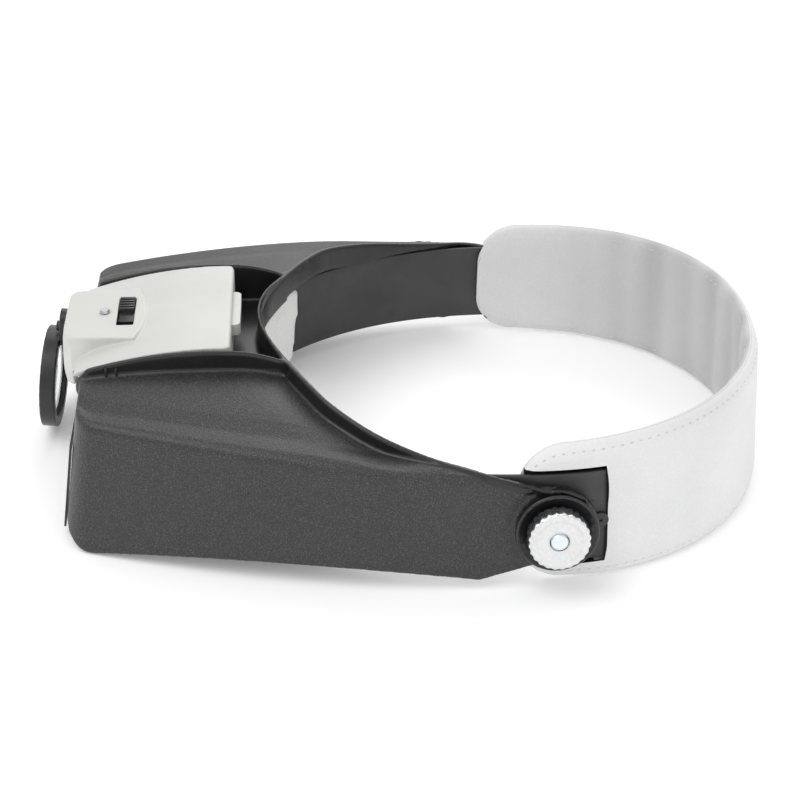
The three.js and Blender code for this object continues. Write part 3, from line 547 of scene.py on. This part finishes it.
def bottom_z(y):
    return 6.9 * (1 - ((y + 33) / 75) ** 2)


def corner_cut(behind, r):
    return 0 if behind >= r else r - math.sqrt(max(0, r * r - (r - behind) ** 2))


def rim_points(steps=RIM_STEPS, more=()):
    half = [*RIM, *more]
    return curve_through([(-x, y, z) for x, y, z in reversed(half[1:])] + half, steps)


RIM_CURVE = rim_points()


def rim_gutter(x, y):
    """How far the roof sinks beside the rim, so that the rim stands up as a low wall."""
    gap = np.hypot(RIM_CURVE[:, 0] - x, RIM_CURVE[:, 1] - y).min()
    fade = smoothstep(-y, -GUTTER_END_Y, -GUTTER_FULL_Y)
    return GUTTER_DEPTH * math.exp(-((gap / GUTTER_WIDTH) ** 2)) * fade


def visor_ring(station, behind, inset):
    """One cross-section of the visor's outside, or of its inside when inset is the wall's thickness."""
    shear = FRONT_LEAN * (1 - smoothstep(station, -100, -60))
    cut = corner_cut(behind, CORNER_R - inset) + inset

    def side(z):
        y = station + shear * z
        return Vector((side_x(y, z) - cut, y, z))

    def roof(fraction):
        y = station + shear * crease_z(station + shear * CREASE_Z)
        x = (crease_x(y) - cut) * fraction
        hollow = HOLLOW_DEPTH * math.exp(-(((fraction - HOLLOW_AT) / HOLLOW_WIDTH) ** 2))
        return Vector((x, y, roof_z(x, y) - inset - hollow - rim_gutter(x, y)))

    top = crease_z(station + shear * CREASE_Z) - inset
    half = [side(z) for z in np.linspace(-5 - inset, top - 2.6, 12)]
    start, corner, end = half[-1], side(top - 0.1), roof(ROOF_EDGE)
    for t in (0.25, 0.5, 0.75):
        half.append(start.lerp(corner, t).lerp(corner.lerp(end, t), t))
    half += [roof(f) for f in np.linspace(ROOF_EDGE, 0, 22)]
    return half + [Vector((-p.x, p.y, p.z)) for p in reversed(half[:-1])]


def visor_skin(name, inset, front_inset):
    radius = CORNER_R - inset
    front = FRONT_Y + front_inset
    turns = 1 - np.cos(np.linspace(0, math.pi / 2, 8))
    rings = [visor_ring(front + radius * t, radius * t, inset) for t in turns]
    rings += [visor_ring(y, radius, inset) for y in np.arange(front + radius + 3, 68, 3)]
    return loft(name, rings)


def rim_normals(points):
    along = np.gradient(points, axis=0)
    along[:, 2] = 0
    along /= np.linalg.norm(along, axis=1)[:, None]
    return np.stack([-along[:, 1], along[:, 0], np.zeros(len(points))], axis=1)


def rim_wall():
    points = rim_points(RIM_STEPS, RIM_ON_ARM)
    rings = []
    for p, n in zip(points, rim_normals(points) * RIM_THICK / 2):
        low = (0, 0, -clamp(p[2] - BAND_TOP_Z - 0.6, 0.9, 9.5))
        rings.append([p + n + low, p + n, p - n, p - n + low])
    return loft("rim", rings)


def rim_hole():
    edge = [(p[0], p[1]) for p in rim_points()]
    return prism("hole", "Z", edge + [(edge[-1][0], 80), (edge[0][0], 80)], 30, 80)


def lamp_recess():
    points = rim_points()
    inner = points - rim_normals(points) * RIM_THICK / 2
    near = [(p[0], p[1]) for p in inner if abs(p[0]) < CRADLE_HALF - 0.4]
    ends = [(CRADLE_HALF, near[-1][1]), (CRADLE_HALF, -60), (-CRADLE_HALF, -60), (-CRADLE_HALF, near[0][1])]
    return prism("recess", "Z", near + ends, WELL_FLOOR_Z, 75)


def side_outline():
    def front(z):
        return FRONT_Y + FRONT_LEAN * z

    outline = [(front(75) - 0.01, 75), (front(8) - 0.01, 8)]
    outline += arc(front(8) + 8, 8, 8, math.pi * 1.08, math.pi * 1.5, 10)
    outline += [(y, max(0, bottom_z(y))) for y in np.arange(-106, 22.5, 3)]
    outline += [(22.5, bottom_z(22.5))]
    outline += arc(PIVOT_Y, PIVOT_Z, ARM_END_R, math.pi * 1.4, math.pi * 2.5, 48)
    return outline + [(PIVOT_Y - 6, 75)]


def pivot_frame(side):
    turn = Vector((0, 1, 0)).rotation_difference(Vector((side, 0, ARM_LEAN))).to_matrix().to_4x4()
    return Matrix.Translation((side * ARM_MID_X, PIVOT_Y, PIVOT_Z)) @ turn


def on_pivot(name, side, start, end, r):
    at = pivot_frame(side)
    return rod(name, at @ Vector((0, start, 0)), at @ Vector((0, end, 0)), r, sides=64)


def lens_window(start, end):
    edge = LENS_HALF - LENS_LIP
    return block("window", -edge, edge, start, end, LENS_LOW + 2, LENS_HIGH - 2, FRONT_FRAME)


def build_visor():
    shell = combine(visor_skin("visor", 0, 0), "DIFFERENCE", visor_skin("inside", WALL, FRONT_WALL))
    combine(shell, "INTERSECT", prism("outline", "X", side_outline(), -110, 110))
    outer = CRADLE_HALF + CRADLE_WALL
    top = [tuple(p) for p in curve_through(CRADLE_TOP, 60)]
    cradle = prism("cradle", "X", [(-111.9, 44), *top, (-40, 43.6), (-97, 43.6)], -outer, outer)
    combine(cradle, "DIFFERENCE", rim_hole())
    combine(shell, "UNION", cradle)
    combine(shell, "DIFFERENCE", rim_hole())
    combine(shell, "UNION", rim_wall())
    well = block("well", -CRADLE_HALF, CRADLE_HALF, -109, -50.4, WELL_FLOOR_Z, 75)
    mouth = block("mouth", -CRADLE_HALF, CRADLE_HALF, -125, -98, 43.8, 75)
    combine(shell, "DIFFERENCE", well, mouth, lamp_recess())
    for side in (1, -1):
        outer_end = (side * (CRADLE_HALF + 3), LAMP_TILT_Y, LAMP_TILT_Z)
        combine(shell, "DIFFERENCE", rod("hole", (side * 28, LAMP_TILT_Y, LAMP_TILT_Z), outer_end, 1.9))
        ring = on_pivot("ring", side, 0.9, 1.6, ARM_END_R - GAP)
        combine(ring, "DIFFERENCE", on_pivot("bore", side, 0.5, 2, 12.4))
        combine(shell, "UNION", ring)
        combine(shell, "DIFFERENCE", on_pivot("bore", side, -4, 4, 4.2))
        x = side * (FLIP_HALF + 4)
        combine(shell, "UNION", block("ear", x - 1.2, x + 1.2, FLIP_Y - 3, FLIP_Y + 3, FLIP_Z - 3.3, 47.5))
    half = LENS_HALF + GAP
    low, high = LENS_LOW - GAP, LENS_HIGH + GAP
    seat = block("seat", -half, half, -2, LENS_THICK + GAP, low, high, FRONT_FRAME)
    combine(shell, "DIFFERENCE", seat, lens_window(2, 6))
    bevel(shell, 0.7, 2, 50, clamped=False)
    bake(shell)
    soften(shell, 0.5, 18)
    mark_polish(shell)
    finish(shell, VISOR_LOOK, "visor", ["visor_shell"])


def mark_polish(shell):
    """Vertex value that is 1 on the smooth rim and in the lamp's cradle, and 0 on the grain."""
    count = len(shell.data.vertices)
    p = np.empty(count * 3)
    shell.data.vertices.foreach_get("co", p)
    p = p.reshape(-1, 3) / MM
    gap = np.full(count, 99.0)
    for a in rim_points(340, RIM_ON_ARM):
        deep = RIM_SMOOTH_DEPTH if a[1] < BEAD_START_Y else BEAD_SMOOTH_DEPTH
        below = np.maximum(0, abs(p[:, 2] - a[2]) - deep)
        gap = np.minimum(gap, np.sqrt((p[:, 0] - a[0]) ** 2 + (p[:, 1] - a[1]) ** 2 + below**2))
    near_rim = np.clip((POLISH_REACH - gap) / POLISH_FADE, 0, 1)
    roof = np.array([roof_z(x, y) for x, y in p[:, :2]])
    in_cradle = (abs(p[:, 0]) < CRADLE_HALF + CRADLE_WALL + 0.6) & (p[:, 1] > -114)
    above = np.clip((p[:, 2] - roof) / 0.5, 0, 1)
    in_well = (abs(p[:, 0]) < CRADLE_HALF + 0.4) & (p[:, 2] > 44.6)
    value = np.maximum.reduce([near_rim, in_cradle * above, in_well * 1.0])
    layer = shell.data.attributes.new("polish", "FLOAT", "POINT")
    layer.data.foreach_set("value", value.astype(np.float32))


def build_cradle_ribs():
    outer = CRADLE_HALF + CRADLE_WALL
    for side, tag in ((1, "L"), (-1, "R")):
        low, high = sorted((side * (outer - 0.2), side * (outer + 0.9)))
        for k, y in enumerate((-101.6, -98.2)):
            rib = block(f"cradle_rib_{tag}{k + 1}", low, high, y, y + 0.9, 47, 54.6)
            bevel(rib, 0.35)
            smooth(bake(rib), 40)
            finish(rib, SATIN_BLACK, "visor")


build_visor()
build_cradle_ribs()
dress("lens_bezel", SATIN_BLACK, 0.25)
dress("main_lens", ACRYLIC_LOOK, 0.2)
dress("flip_pin", STEEL_LOOK)
dress("loupe_collar", SATIN_BLACK, 0.2)
dress("loupe_screw", SATIN_BLACK, 0.15)
dress("flip_frame", SATIN_BLACK, 0.3)
dress("flip_lens", ACRYLIC_LOOK, 0.2)

# ---- loupe ---------------------------------------------------------------------------------------
LOUPE_FRAME = (
    Matrix.Translation(LOUPE_PIVOT)
    @ Matrix.Rotation(-LOUPE_YAW, 4, "Z")
    @ Matrix.Rotation(-LOUPE_LEAN, 4, "X")
)
RING_FRONT, RING_BACK = -8.8, -3.3
LUG_R, LUG_TOP, LUG_FRONT, LUG_BACK = 4.6, 2.2, -3.5, 0.9


def loupe_rod(name, z, start, end, r):
    return rod(name, LOUPE_FRAME @ Vector((0, start, z)), LOUPE_FRAME @ Vector((0, end, z)), r, sides=96)


def build_loupe():
    ring = loupe_rod("loupe_ring", -LOUPE_DROP, RING_FRONT, RING_BACK, LOUPE_R)
    lug = block("lug", -LUG_R, LUG_R, LUG_FRONT, LUG_BACK, -5.6, LUG_TOP, LOUPE_FRAME)
    combine(lug, "UNION", loupe_rod("lobe", LUG_TOP, LUG_FRONT, LUG_BACK, LUG_R))
    combine(lug, "UNION", block("root", -LUG_R, LUG_R, -6.5, LUG_FRONT + 0.5, -5.5, -3.4, LOUPE_FRAME))
    combine(ring, "UNION", lug)
    combine(
        ring, "DIFFERENCE",
        loupe_rod("hole", -LOUPE_DROP, RING_FRONT - 1, RING_BACK + 1, LOUPE_HOLE_R),
        loupe_rod("seat", -LOUPE_DROP, RING_FRONT + 0.9, RING_BACK - 0.9, LOUPE_HOLE_R + 1),
        loupe_rod("bore", 0, -6, 3, 1.5),
    )
    soften(ring, 0.34, 10)
    finish(ring, SATIN_BLACK, "loupe", ["loupe_frame"])


def lens_profile(r, edge, crown, steps=14):
    """Half outline of a lens, from the middle of one face over its edge to the other's."""
    half = [(r * t, edge + crown * (1 - t * t)) for t in np.linspace(0.001, 1, steps)]
    return half + [(a, -h) for a, h in reversed(half)]


def build_loupe_lens():
    middle = LOUPE_FRAME @ Matrix.Translation((0, (RING_FRONT + RING_BACK) / 2, -LOUPE_DROP))
    lens = turned("loupe_glass", lens_profile(LOUPE_HOLE_R + 0.7, 0.8, 0.9), middle)
    finish(smooth(lens, 40), ACRYLIC_LOOK, "loupe", ["loupe_lens"])


build_loupe()
build_loupe_lens()

# ---- lamp ----------------------------------------------------------------------------------------
NOSE = [
    # height, half-width at the front, y of the front corner, y of the front
    (46.4, 29.4, -112.6, -115.4), (49.5, 26.4, -113.4, -116.6), (52.5, 21.4, -114.4, -117.3),
    (55.5, 17.8, -115.2, -117.5), (57.4, 16.8, -115.4, -117.4), (58, 16.2, -115, -116.9),
]


def lamp_top(y):
    return 60 if y > -62 else 60 - 8.5 * ((y + 62) / 50) ** 2


def lamp_profile(inset, low):
    back = LAMP_REAR_Y - inset
    points = [(back, low), (back, 59.2 - inset), (back - 0.8, 60 - inset)]
    points += [(y, lamp_top(y) - inset) for y in np.arange(-62, -112, -2.0)]
    return points + [(-112.2 + inset, lamp_top(-112.2) - inset), (-113 + inset, low)]


def nose_ring(z, front_half, corner_y, front_y, inset):
    flare = front_half - 17
    half = [
        (0, -89.2 - inset), (10, -90 - inset), (18.4 - inset, -92.4 - inset), (17.8 - inset, -100),
        (17.6 - inset + flare * 0.12, -106), (17.6 - inset + flare * 0.45, -110),
        (front_half - 2 * inset, corner_y + inset), (front_half - 2 * inset - 2, front_y + 0.3 + inset),
        (front_half * 0.5, front_y + inset), (0, front_y + inset),
    ]
    other = [(-x, y) for x, y in reversed(half[1:-1])]
    return [(x, y, z) for x, y in half + other]


def nose(name, inset):
    rows = curve_through(NOSE, 30)
    rings = []
    for z, half, corner, front in rows:
        half = min(half, 18) if inset else half
        shift = -inset if z > 57 else (-3 * inset if z < 46.6 else 0)
        rings.append(nose_ring(z + shift, half, corner, front, inset))
    rings.sort(key=lambda ring: ring[0][2])
    return loft(name, rings)


def lamp_plan():
    r = 2.4
    x, y = LAMP_HALF - r, LAMP_REAR_Y - r
    corners = arc(x, y, r, 0, math.pi / 2, 10) + arc(-x, y, r, math.pi / 2, math.pi, 10)
    return prism("plan", "Z", [(LAMP_HALF, -125), *corners, (-LAMP_HALF, -125)], 0, 80)


def build_lamp_cover():
    inner = LAMP_HALF - SHELL
    cover = prism("lamp_hood", "X", lamp_profile(0, LAMP_SPLIT_Z), -LAMP_HALF, LAMP_HALF)
    combine(cover, "INTERSECT", lamp_plan())
    combine(cover, "UNION", nose("nose", 0))
    combine(
        cover, "DIFFERENCE",
        prism("inside", "X", lamp_profile(SHELL, LAMP_SPLIT_Z - 3), -inner, inner),
        nose("inside", SHELL),
        block("under", -40, 40, -111.9, -40, 30, LAMP_SPLIT_Z),
        block("window", SWITCH["x0"], SWITCH["x1"], SWITCH["y0"], SWITCH["y1"], 52, 70),
        rod("hole", (SCREW_X, SCREW_Y, 50), (SCREW_X, SCREW_Y, 70), 1.4),
        block("window", -9.8, 9.8, -125, -111, 47.8, 55.2),
        block("slot", TAB_X0 - GAP, TAB_X1 + GAP, LAMP_REAR_Y - 3, -40, 53.6, 58.4),
    )
    soften(cover, 0.36, 12)
    finish(cover, LAMP_LOOK, "lamp", ["lamp_cover"])


def build_slider():
    x0, y0, y1 = SWITCH["x0"] + GAP, SWITCH["y0"] + GAP, SWITCH["y1"] - GAP
    slider = block("switch_thumb", x0, SWITCH["x1"] - GAP - SWITCH_TRAVEL, y0, y1, 54.8, 56.7)
    combine(slider, "UNION", block("grip", x0, x0 + 8.6, y0, y1, 56, 58.6))
    combine(slider, "UNION", block("stem", x0 + 5, x0 + 8, y0 + 1.6, y1 - 1.6, 53.6, 55))
    for x in (1.4, 3.2, 5, 6.8):
        combine(slider, "DIFFERENCE", block("groove", x0 + x, x0 + x + 0.8, y0 - 1, y1 + 1, 57.9, 60))
    bevel(slider, 0.14, 2)
    finish(smooth(bake(slider), 40), SATIN_BLACK, "switch", ["switch_slider"])


build_lamp_cover()
build_slider()
dress("lamp_base", LAMP_LOOK, 0.3)
dress("cover_screw", STEEL_LOOK, 0.1)
dress("battery_latch", LAMP_LOOK, 0.5)
dress("switch_body", SATIN_BLACK, 0.2)
dress("circuit_board", BOARD_LOOK, 0.1)
dress("lamp_led", LED_LOOK)
dress("lamp_reflector", MIRROR_LOOK, 0.15)
dress("lamp_window", ACRYLIC_LOOK, 0.2)
for node in ("battery_cell_1", "battery_cell_2"):
    dress(node, CELL_LOOK, 0.4)
for node in ("battery_contact_L", "battery_contact_R"):
    dress(node, STEEL_LOOK, 0.1)


# ---- headband ------------------------------------------------------------------------------------
LOOP_Y = 40.7  # widest part of the head loop
LOOP_HALF, LOOP_BACK, LOOP_FRONT = 84.4, 88.5, 107.8  # its reach from there, at the pivots' height
HALF_FLARE, BACK_FLARE, FRONT_FLARE = 0.1114, 0.0645, 0.12  # mm that each grows per mm down


def loop_point(degrees, offset, z):
    """A point of the head loop, a cone that narrows upwards; 0 is the left side and 90 the back."""
    a = math.radians(degrees)
    back = math.sin(a) >= 0
    drop = PIVOT_Z - z
    half = LOOP_HALF + HALF_FLARE * drop - offset
    power = 2 / 2.18 if back else 2 / (2 + 0.18 * (1 - abs(math.sin(a))))
    reach = (LOOP_BACK + BACK_FLARE * drop if back else LOOP_FRONT + FRONT_FLARE * drop) - offset
    x = half * math.copysign(abs(math.cos(a)) ** power, math.cos(a))
    y = LOOP_Y + reach * math.copysign(abs(math.sin(a)) ** power, math.sin(a))
    return Vector((x, y, z))


def angle_at(y, offset=0):
    """The angle on the wearer's left side at which the loop passes a given y."""
    low, high = -80.0, 80.0
    for _ in range(40):
        middle = (low + high) / 2
        if loop_point(middle, offset, PIVOT_Z).y < y:
            low = middle
        else:
            high = middle
    return low


def even_angles(start, end, count):
    """Angles that split the loop between two angles into equal lengths."""
    fine = np.linspace(start, end, 800)
    points = np.array([loop_point(a, 0, PIVOT_Z) for a in fine])
    length = np.concatenate([[0], np.cumsum(np.linalg.norm(np.diff(points, axis=0), axis=1))])
    return np.interp(np.linspace(0, length[-1], count + 1), length, fine), length[-1]


def section(near, far, low, high, radius, steps=4, rows=10):
    """Closed outline of a flat strip's cross-section, with round corners, as (offset, z) pairs."""
    corners = [(near, low, 1, 1), (far, low, -1, 1), (far, high, -1, -1), (near, high, 1, -1)]
    starts = (math.pi, math.pi * 1.5, 0, math.pi / 2)
    outline = []
    for (o, z, so, sz), start in zip(corners, starts):
        for a in np.linspace(start, start + math.pi / 2, steps + 1):
            outline.append((o + so * radius + radius * math.cos(a), z + sz * radius + radius * math.sin(a)))
        if so != sz:
            target = high - radius if sz == 1 else low + radius
            z0 = outline[-1][1]
            outline += [(o, z0 + (target - z0) * k / rows) for k in range(1, rows)]
    return outline


def strip(name, start, end, count, near, far, low, high, radius):
    angles, _ = even_angles(start, end, count)
    outline = section(near, far, low, high, radius)
    rings = [[loop_point(a, o, z) for o, z in outline] for a in angles]
    return smooth(loft(name, rings), 50)


def build_bands():
    end = angle_at(84, 1.8)
    band = strip("band_strip", -180 - end, end, 150, 1.1, 2.5, BAND_BOTTOM_Z, BAND_TOP_Z, 0.55)
    finish(band, BAND_LOOK, "headband", ["front_band"])
    start = angle_at(70, 3.2)
    strap = strip("inner_strap", start, 180 - start, 90, 2.8, 3.7, 9, 38, 0.4)
    finish(strap, BAND_LOOK, "between", ["rear_strap"])


def swell(piece, voxel, cap, frames=20):
    """Blows a pad up a little as cloth under pressure, then takes the result as its mesh."""
    soft = piece.modifiers.new("cells", "REMESH")
    soft.mode = "VOXEL"
    soft.voxel_size = voxel * MM
    bake(piece)
    before = np.array([v.co for v in piece.data.vertices])
    scene = bpy.context.scene
    cloth = piece.modifiers.new("cloth", "CLOTH")
    cloth.settings.use_pressure = True
    cloth.settings.uniform_pressure_force = 4
    cloth.settings.effector_weights.gravity = 0
    for number in range(1, frames + 1):
        scene.frame_set(number)
    graph = bpy.context.evaluated_depsgraph_get()
    after = np.array([v.co for v in piece.evaluated_get(graph).data.vertices])
    piece.modifiers.clear()
    scene.frame_set(1)
    shift = after - before
    length = np.linalg.norm(shift, axis=1)[:, None]
    shift *= np.minimum(1, cap * MM / np.maximum(length, 1e-9))
    for v, p in zip(piece.data.vertices, before + shift):
        v.co = p
    fine = piece.modifiers.new("fine", "SUBSURF")
    fine.levels = fine.render_levels = 1
    bake(piece)
    return smooth(piece)


def build_pad():
    reach = 40.6
    angles, _ = even_angles(-90 - reach, -90 + reach, 60)
    rings = []
    for i, a in enumerate(angles):
        end = min(i, len(angles) - 1 - i)
        pinch = 1.6 * (1 - clamp(end / 4)) ** 2
        outline = section(3.2 + pinch * 0.4, 8 - pinch * 0.6, 3.6 + pinch * 2, 41 - pinch * 2, 1.9)
        rings.append([loop_point(a, o, z) for o, z in outline])
    pad = swell(loft("brow_pad", rings), 1.8, 0.75)
    finish(pad, PAD_LOOK, "headband", ["forehead_pad"])


SLEEVE_R = 15.5  # front corners of the sleeve in the side view
SLOT_LOW, SLOT_HIGH, SLOT_BOW = 5.9, 41.2, 1.1
SLOT_MID_Z, SLOT_HALF_Z = 23.3, 18.3
POCKET_LOW, POCKET_HIGH, POCKET_END_Y = 5.2, 41.4, 88
# the faces inside the slot and pocket within these limits are painted black as shade
POCKET_SHADE_END_Y, POCKET_SHADE_LOW, POCKET_SHADE_HIGH = 80, 5.7, 41.35
POCKET_SHADE_NEAR, POCKET_SHADE_FAR = 0.25, 4.3  # measured in from the loop's outer surface


def sleeve_top(y):
    flat = 47.8 + 0.039 * y
    return flat - corner_cut(y - SLEEVE_FRONT_Y, SLEEVE_R)


def sleeve_low(y):
    level = 0.4 * (1 - smoothstep(y, 49, 63)) + 0.05
    return level + corner_cut(y - SLEEVE_FRONT_Y, SLEEVE_R)


def fold(y, x, z):
    """Soft upright folds on the inner face of the sleeve."""
    around = math.degrees(math.atan2(y - LOOP_Y, x))
    waves = 0.55 * math.sin(around * 0.55 + 0.8) + 0.35 * math.sin(around * 0.31 + z * 0.035)
    return waves * smoothstep(y, 60, 95)


def sleeve_ring(angle, tuck=0.0):
    y = loop_point(angle, 2.4, PIVOT_Z).y
    low, high = sleeve_low(y) + tuck, sleeve_top(y) - tuck
    inset = tuck * 0.7
    outline = section(inset, SLEEVE_THICK - inset, low, high, min(2.1, 2.4 - tuck), steps=6, rows=22)
    ring = []
    for offset, z in outline:
        edge = min(z - low, high - z)
        groove = 0.42 * math.exp(-(((edge - 3.0) / 0.7) ** 2)) + 0.75 * (1 - smoothstep(edge, 1.4, 4.2))
        if offset < SLEEVE_THICK / 2:
            offset += groove
        else:
            offset -= groove
            where = loop_point(angle, offset, z)
            offset += 0.25 + fold(where.y, where.x, z) * clamp(edge / 6)
        ring.append(loop_point(angle, offset, z))
    return ring


def sleeve_angles():
    """Angles close together round the near and the far corner, and where the near corner ends."""
    front = angle_at(SLEEVE_FRONT_Y, 2.4)
    bend = angle_at(SLEEVE_FRONT_Y + SLEEVE_R, 2.4)
    turns = 1 - np.cos(np.linspace(0.06, math.pi / 2, 14))
    near = front + (bend - front) * turns
    return near, 180 - near[::-1], bend


def sleeve_span(name, flip, start, end, near, low, high, bow=0.0, count=24):
    """A block that follows the sleeve's wall between two angles; its far end bows by an angle."""
    outline = section(near, 4.0, low, high, 0.4, 2, 10)
    rings = []
    for t in np.linspace(0, 1, count):
        ring = []
        for o, z in outline:
            reach = end - bow * ((z - SLOT_MID_Z) / SLOT_HALF_Z) ** 2
            a = start + (reach - start) * t
            ring.append(loop_point(180 - a if flip else a, o, z))
        rings.append(ring)
    return loft(name, rings)


def build_sleeve():
    near, far, bend = sleeve_angles()
    middle, _ = even_angles(bend, 180 - bend, 150)
    rings = [sleeve_ring(near[0], 1.3), sleeve_ring(near[0], 0.5)]
    rings += [sleeve_ring(a) for a in [*near[:-1], *middle, *far[1:]]]
    rings += [sleeve_ring(far[-1], 0.5), sleeve_ring(far[-1], 1.3)]
    sleeve = loft("sleeve_cover", rings)
    mouth, slot_edge, deep = angle_at(20), angle_at(SLOT_Y), angle_at(POCKET_END_Y)
    for flip in (False, True):
        slot = sleeve_span("slot", flip, mouth, slot_edge, -3, SLOT_LOW, SLOT_HIGH, SLOT_BOW)
        combine(sleeve, "DIFFERENCE", slot)
        pocket = sleeve_span("pocket", flip, slot_edge - 3, deep, 0.8, POCKET_LOW, POCKET_HIGH)
        combine(sleeve, "DIFFERENCE", pocket)
    smooth(sleeve, 38)
    shade_inside(sleeve)
    finish(sleeve, LEATHER_LOOK, "between", ["sleeve"])
    # painted shade: the faces inside the slot and pocket are made black
    paint_pocket_shade(sleeve)


def paint_pocket_shade(sleeve):
    """Makes the faces inside the sleeve's slot and pocket black, as painted shade in the pocket."""
    sleeve.data.materials.append(SATIN_BLACK)
    for face in sleeve.data.polygons:
        x, y, z = face.center / MM
        if SLEEVE_FRONT_Y + 3 < y < POCKET_SHADE_END_Y and POCKET_SHADE_LOW < z < POCKET_SHADE_HIGH:
            a = angle_at(y)
            if loop_point(a, POCKET_SHADE_FAR, z).x < abs(x) < loop_point(a, POCKET_SHADE_NEAR, z).x:
                face.material_index = 1


def shade_inside(sleeve):
    """Vertex value that paints shade on the sleeve's inner face: darker towards the back and in its folds."""
    values = []
    for vertex in sleeve.data.vertices:
        x, y, z = vertex.co / MM
        inner = clamp(0.5 - 1.6 * vertex.normal.dot(Vector((x, y - LOOP_Y, 0)).normalized()))
        dip = clamp(0.5 - 0.6 * fold(y, x, z))
        values.append(inner * (0.10 + 0.27 * smoothstep(y, 50, 110) + 0.16 * dip * smoothstep(y, 60, 95)))
    sleeve.data.attributes.new("shade", "FLOAT", "POINT").data.foreach_set("value", values)


def stitch(start, end, out, width=0.62):
    """Points and faces of one stitch: a thread that dips into the skin at both ends."""
    points, faces = [], []
    along = (end - start).normalized()
    across = along.cross(out).normalized()
    steps, sides = 6, 6
    for i in range(steps + 1):
        t = i / steps
        lift = 0.34 * math.sin(math.pi * t) - 0.16
        r = width * (0.35 + 0.65 * math.sin(math.pi * clamp(t, 0.06, 0.94)) ** 0.5) / 2
        centre = start.lerp(end, t) + out * lift
        for k in range(sides):
            a = 2 * math.pi * k / sides
            points.append(centre + across * (r * math.cos(a)) + out * (r * math.sin(a)))
    for i in range(steps):
        for k in range(sides):
            a, b = i * sides + k, i * sides + (k + 1) % sides
            faces.append((a, b, b + sides, a + sides))
    faces.append(tuple(reversed(range(sides))))
    faces.append(tuple(range(steps * sides, (steps + 1) * sides)))
    return points, faces


def stitch_path(offset, high):
    """Where the thread runs: 3 mm inside the sleeve's edge."""
    near, far, bend = sleeve_angles()
    middle, _ = even_angles(bend, 180 - bend, 260)
    path = []
    for a in [*near[5:], *middle, *far[:-5]]:
        y = loop_point(a, 2.4, PIVOT_Z).y
        z = sleeve_top(y) - 3 if high else sleeve_low(y) + 3
        path.append(loop_point(a, offset, z))
    return path


def build_stitching():
    points, faces = [], []
    pitch, gap = 3.3, 1.0
    for offset in (0.72, SLEEVE_THICK - 0.55):
        sign = 1 if offset < 1 else -1
        for high in (True, False):
            path = np.array(stitch_path(offset, high))
            length = np.concatenate([[0], np.cumsum(np.linalg.norm(np.diff(path, axis=0), axis=1))])

            def at(s):
                return Vector([np.interp(s, length, path[:, k]) for k in range(3)])

            for s in np.arange(2.0, length[-1] - pitch, pitch):
                start, end = at(s), at(s + pitch - gap)
                middle = (start + end) / 2
                out = Vector((middle.x, (middle.y - LOOP_Y) * 0.9, 0)).normalized() * sign
                p, f = stitch(start, end, out)
                faces += [tuple(i + len(points) for i in face) for face in f]
                points += p
    thread = smooth(make("sleeve_thread", points, faces))
    outward(thread, weld=1e-9)
    finish(thread, THREAD_LOOK, "between")


build_bands()
build_pad()
build_sleeve()
build_stitching()

# ---- pivots --------------------------------------------------------------------------------------
LOBES, LOBE_DEPTH = 24, 0.17
KNOB_FACE_HEIGHT, KNOB_FACE_R = 11.2, 9.6  # the matt face lies above and inside these
KNOB_PROFILE = [
    (3.2, 4.0), (5.2, 4.0), (7.4, 4.0), (8.6, 4.4), (9.4, 5.0), (9.8, 5.25), (10.1, 5.6), (10.15, 6.6),
    (10.15, 8.2), (10.15, 9.8), (10.12, 10.8), (10.0, 11.3), (9.75, 11.65), (9.4, 11.85), (8.9, 11.95),
    (8.2, 11.98), (7.8, 11.9), (7.6, 11.72), (7.3, 11.62), (6.0, 11.6), (4.6, 11.6), (3.5, 11.58),
    (3.2, 11.3), (3.2, 8.0),
]
WASHER_PROFILE = [
    (3.2, 2.2), (6, 2.2), (8.6, 2.25), (10.4, 2.8), (12.2, 3.5), (13.4, 4.2), (13.8, 4.9), (13.75, 5.5),
    (13.45, 5.85), (13.1, 5.85), (12.6, 5.45), (11.8, 4.9), (10.2, 4.1), (8.6, 3.6), (7.6, 3.5),
    (5, 3.5), (3.2, 3.5),
]


def bolt_profile():
    """Half outline of the bolt: a head inside the band, a plain shank and a threaded end."""
    outline = [(0.001, -5.6), (4.2, -5.6), (4.8, -5.4), (4.8, -5.0), (4.6, -4.9), (2.9, -4.9), (2.9, 1.0)]
    pitch = 1.0
    for k in range(10):
        h = 1.2 + k * pitch
        outline += [(2.9, h), (2.9, h + 0.15), (2.5, h + 0.5), (2.5, h + 0.6)]
    return outline + [(2.85, 11.2), (2.85, 11.35), (2.5, 11.7), (0.9, 11.7), (0.001, 11.55)]


def build_pivots():
    for side, tag in ((1, "L"), (-1, "R")):
        at = pivot_frame(side)
        knob_body = "knob_left" if side == 1 else "knob_right"

        def lobes(angle, index):
            weight = smoothstep(KNOB_PROFILE[index][0], 9.5, 10.1)
            return LOBE_DEPTH * math.cos(angle * LOBES) * weight

        knob = turned("tilt_knob_" + tag, KNOB_PROFILE, at, LOBES * 12, lobes)
        finish(smooth(knob, 50), CHROME_LOOK, knob_body, ["knob_" + tag])
        knob.data.materials.append(FACE_LOOK)
        for face in knob.data.polygons:
            local = at.inverted() @ (face.center / MM)
            if local.y > KNOB_FACE_HEIGHT and math.hypot(local.x, local.z) < KNOB_FACE_R:
                face.material_index = 1
        washer = turned("dish_" + tag, WASHER_PROFILE, at, 120)
        finish(smooth(washer, 50), GLOSS_BLACK, "headband", ["dished_washer_" + tag])
        bolt = turned("tilt_bolt_" + tag, bolt_profile(), at, 64)
        finish(smooth(bolt, 40), BOLT_LOOK, "headband", ["pivot_bolt_" + tag])
        dress("friction_washer_" + tag, RUBBER_LOOK, 0.1)
        dress("size_stud_" + tag, SATIN_BLACK, 0.12)


build_pivots()
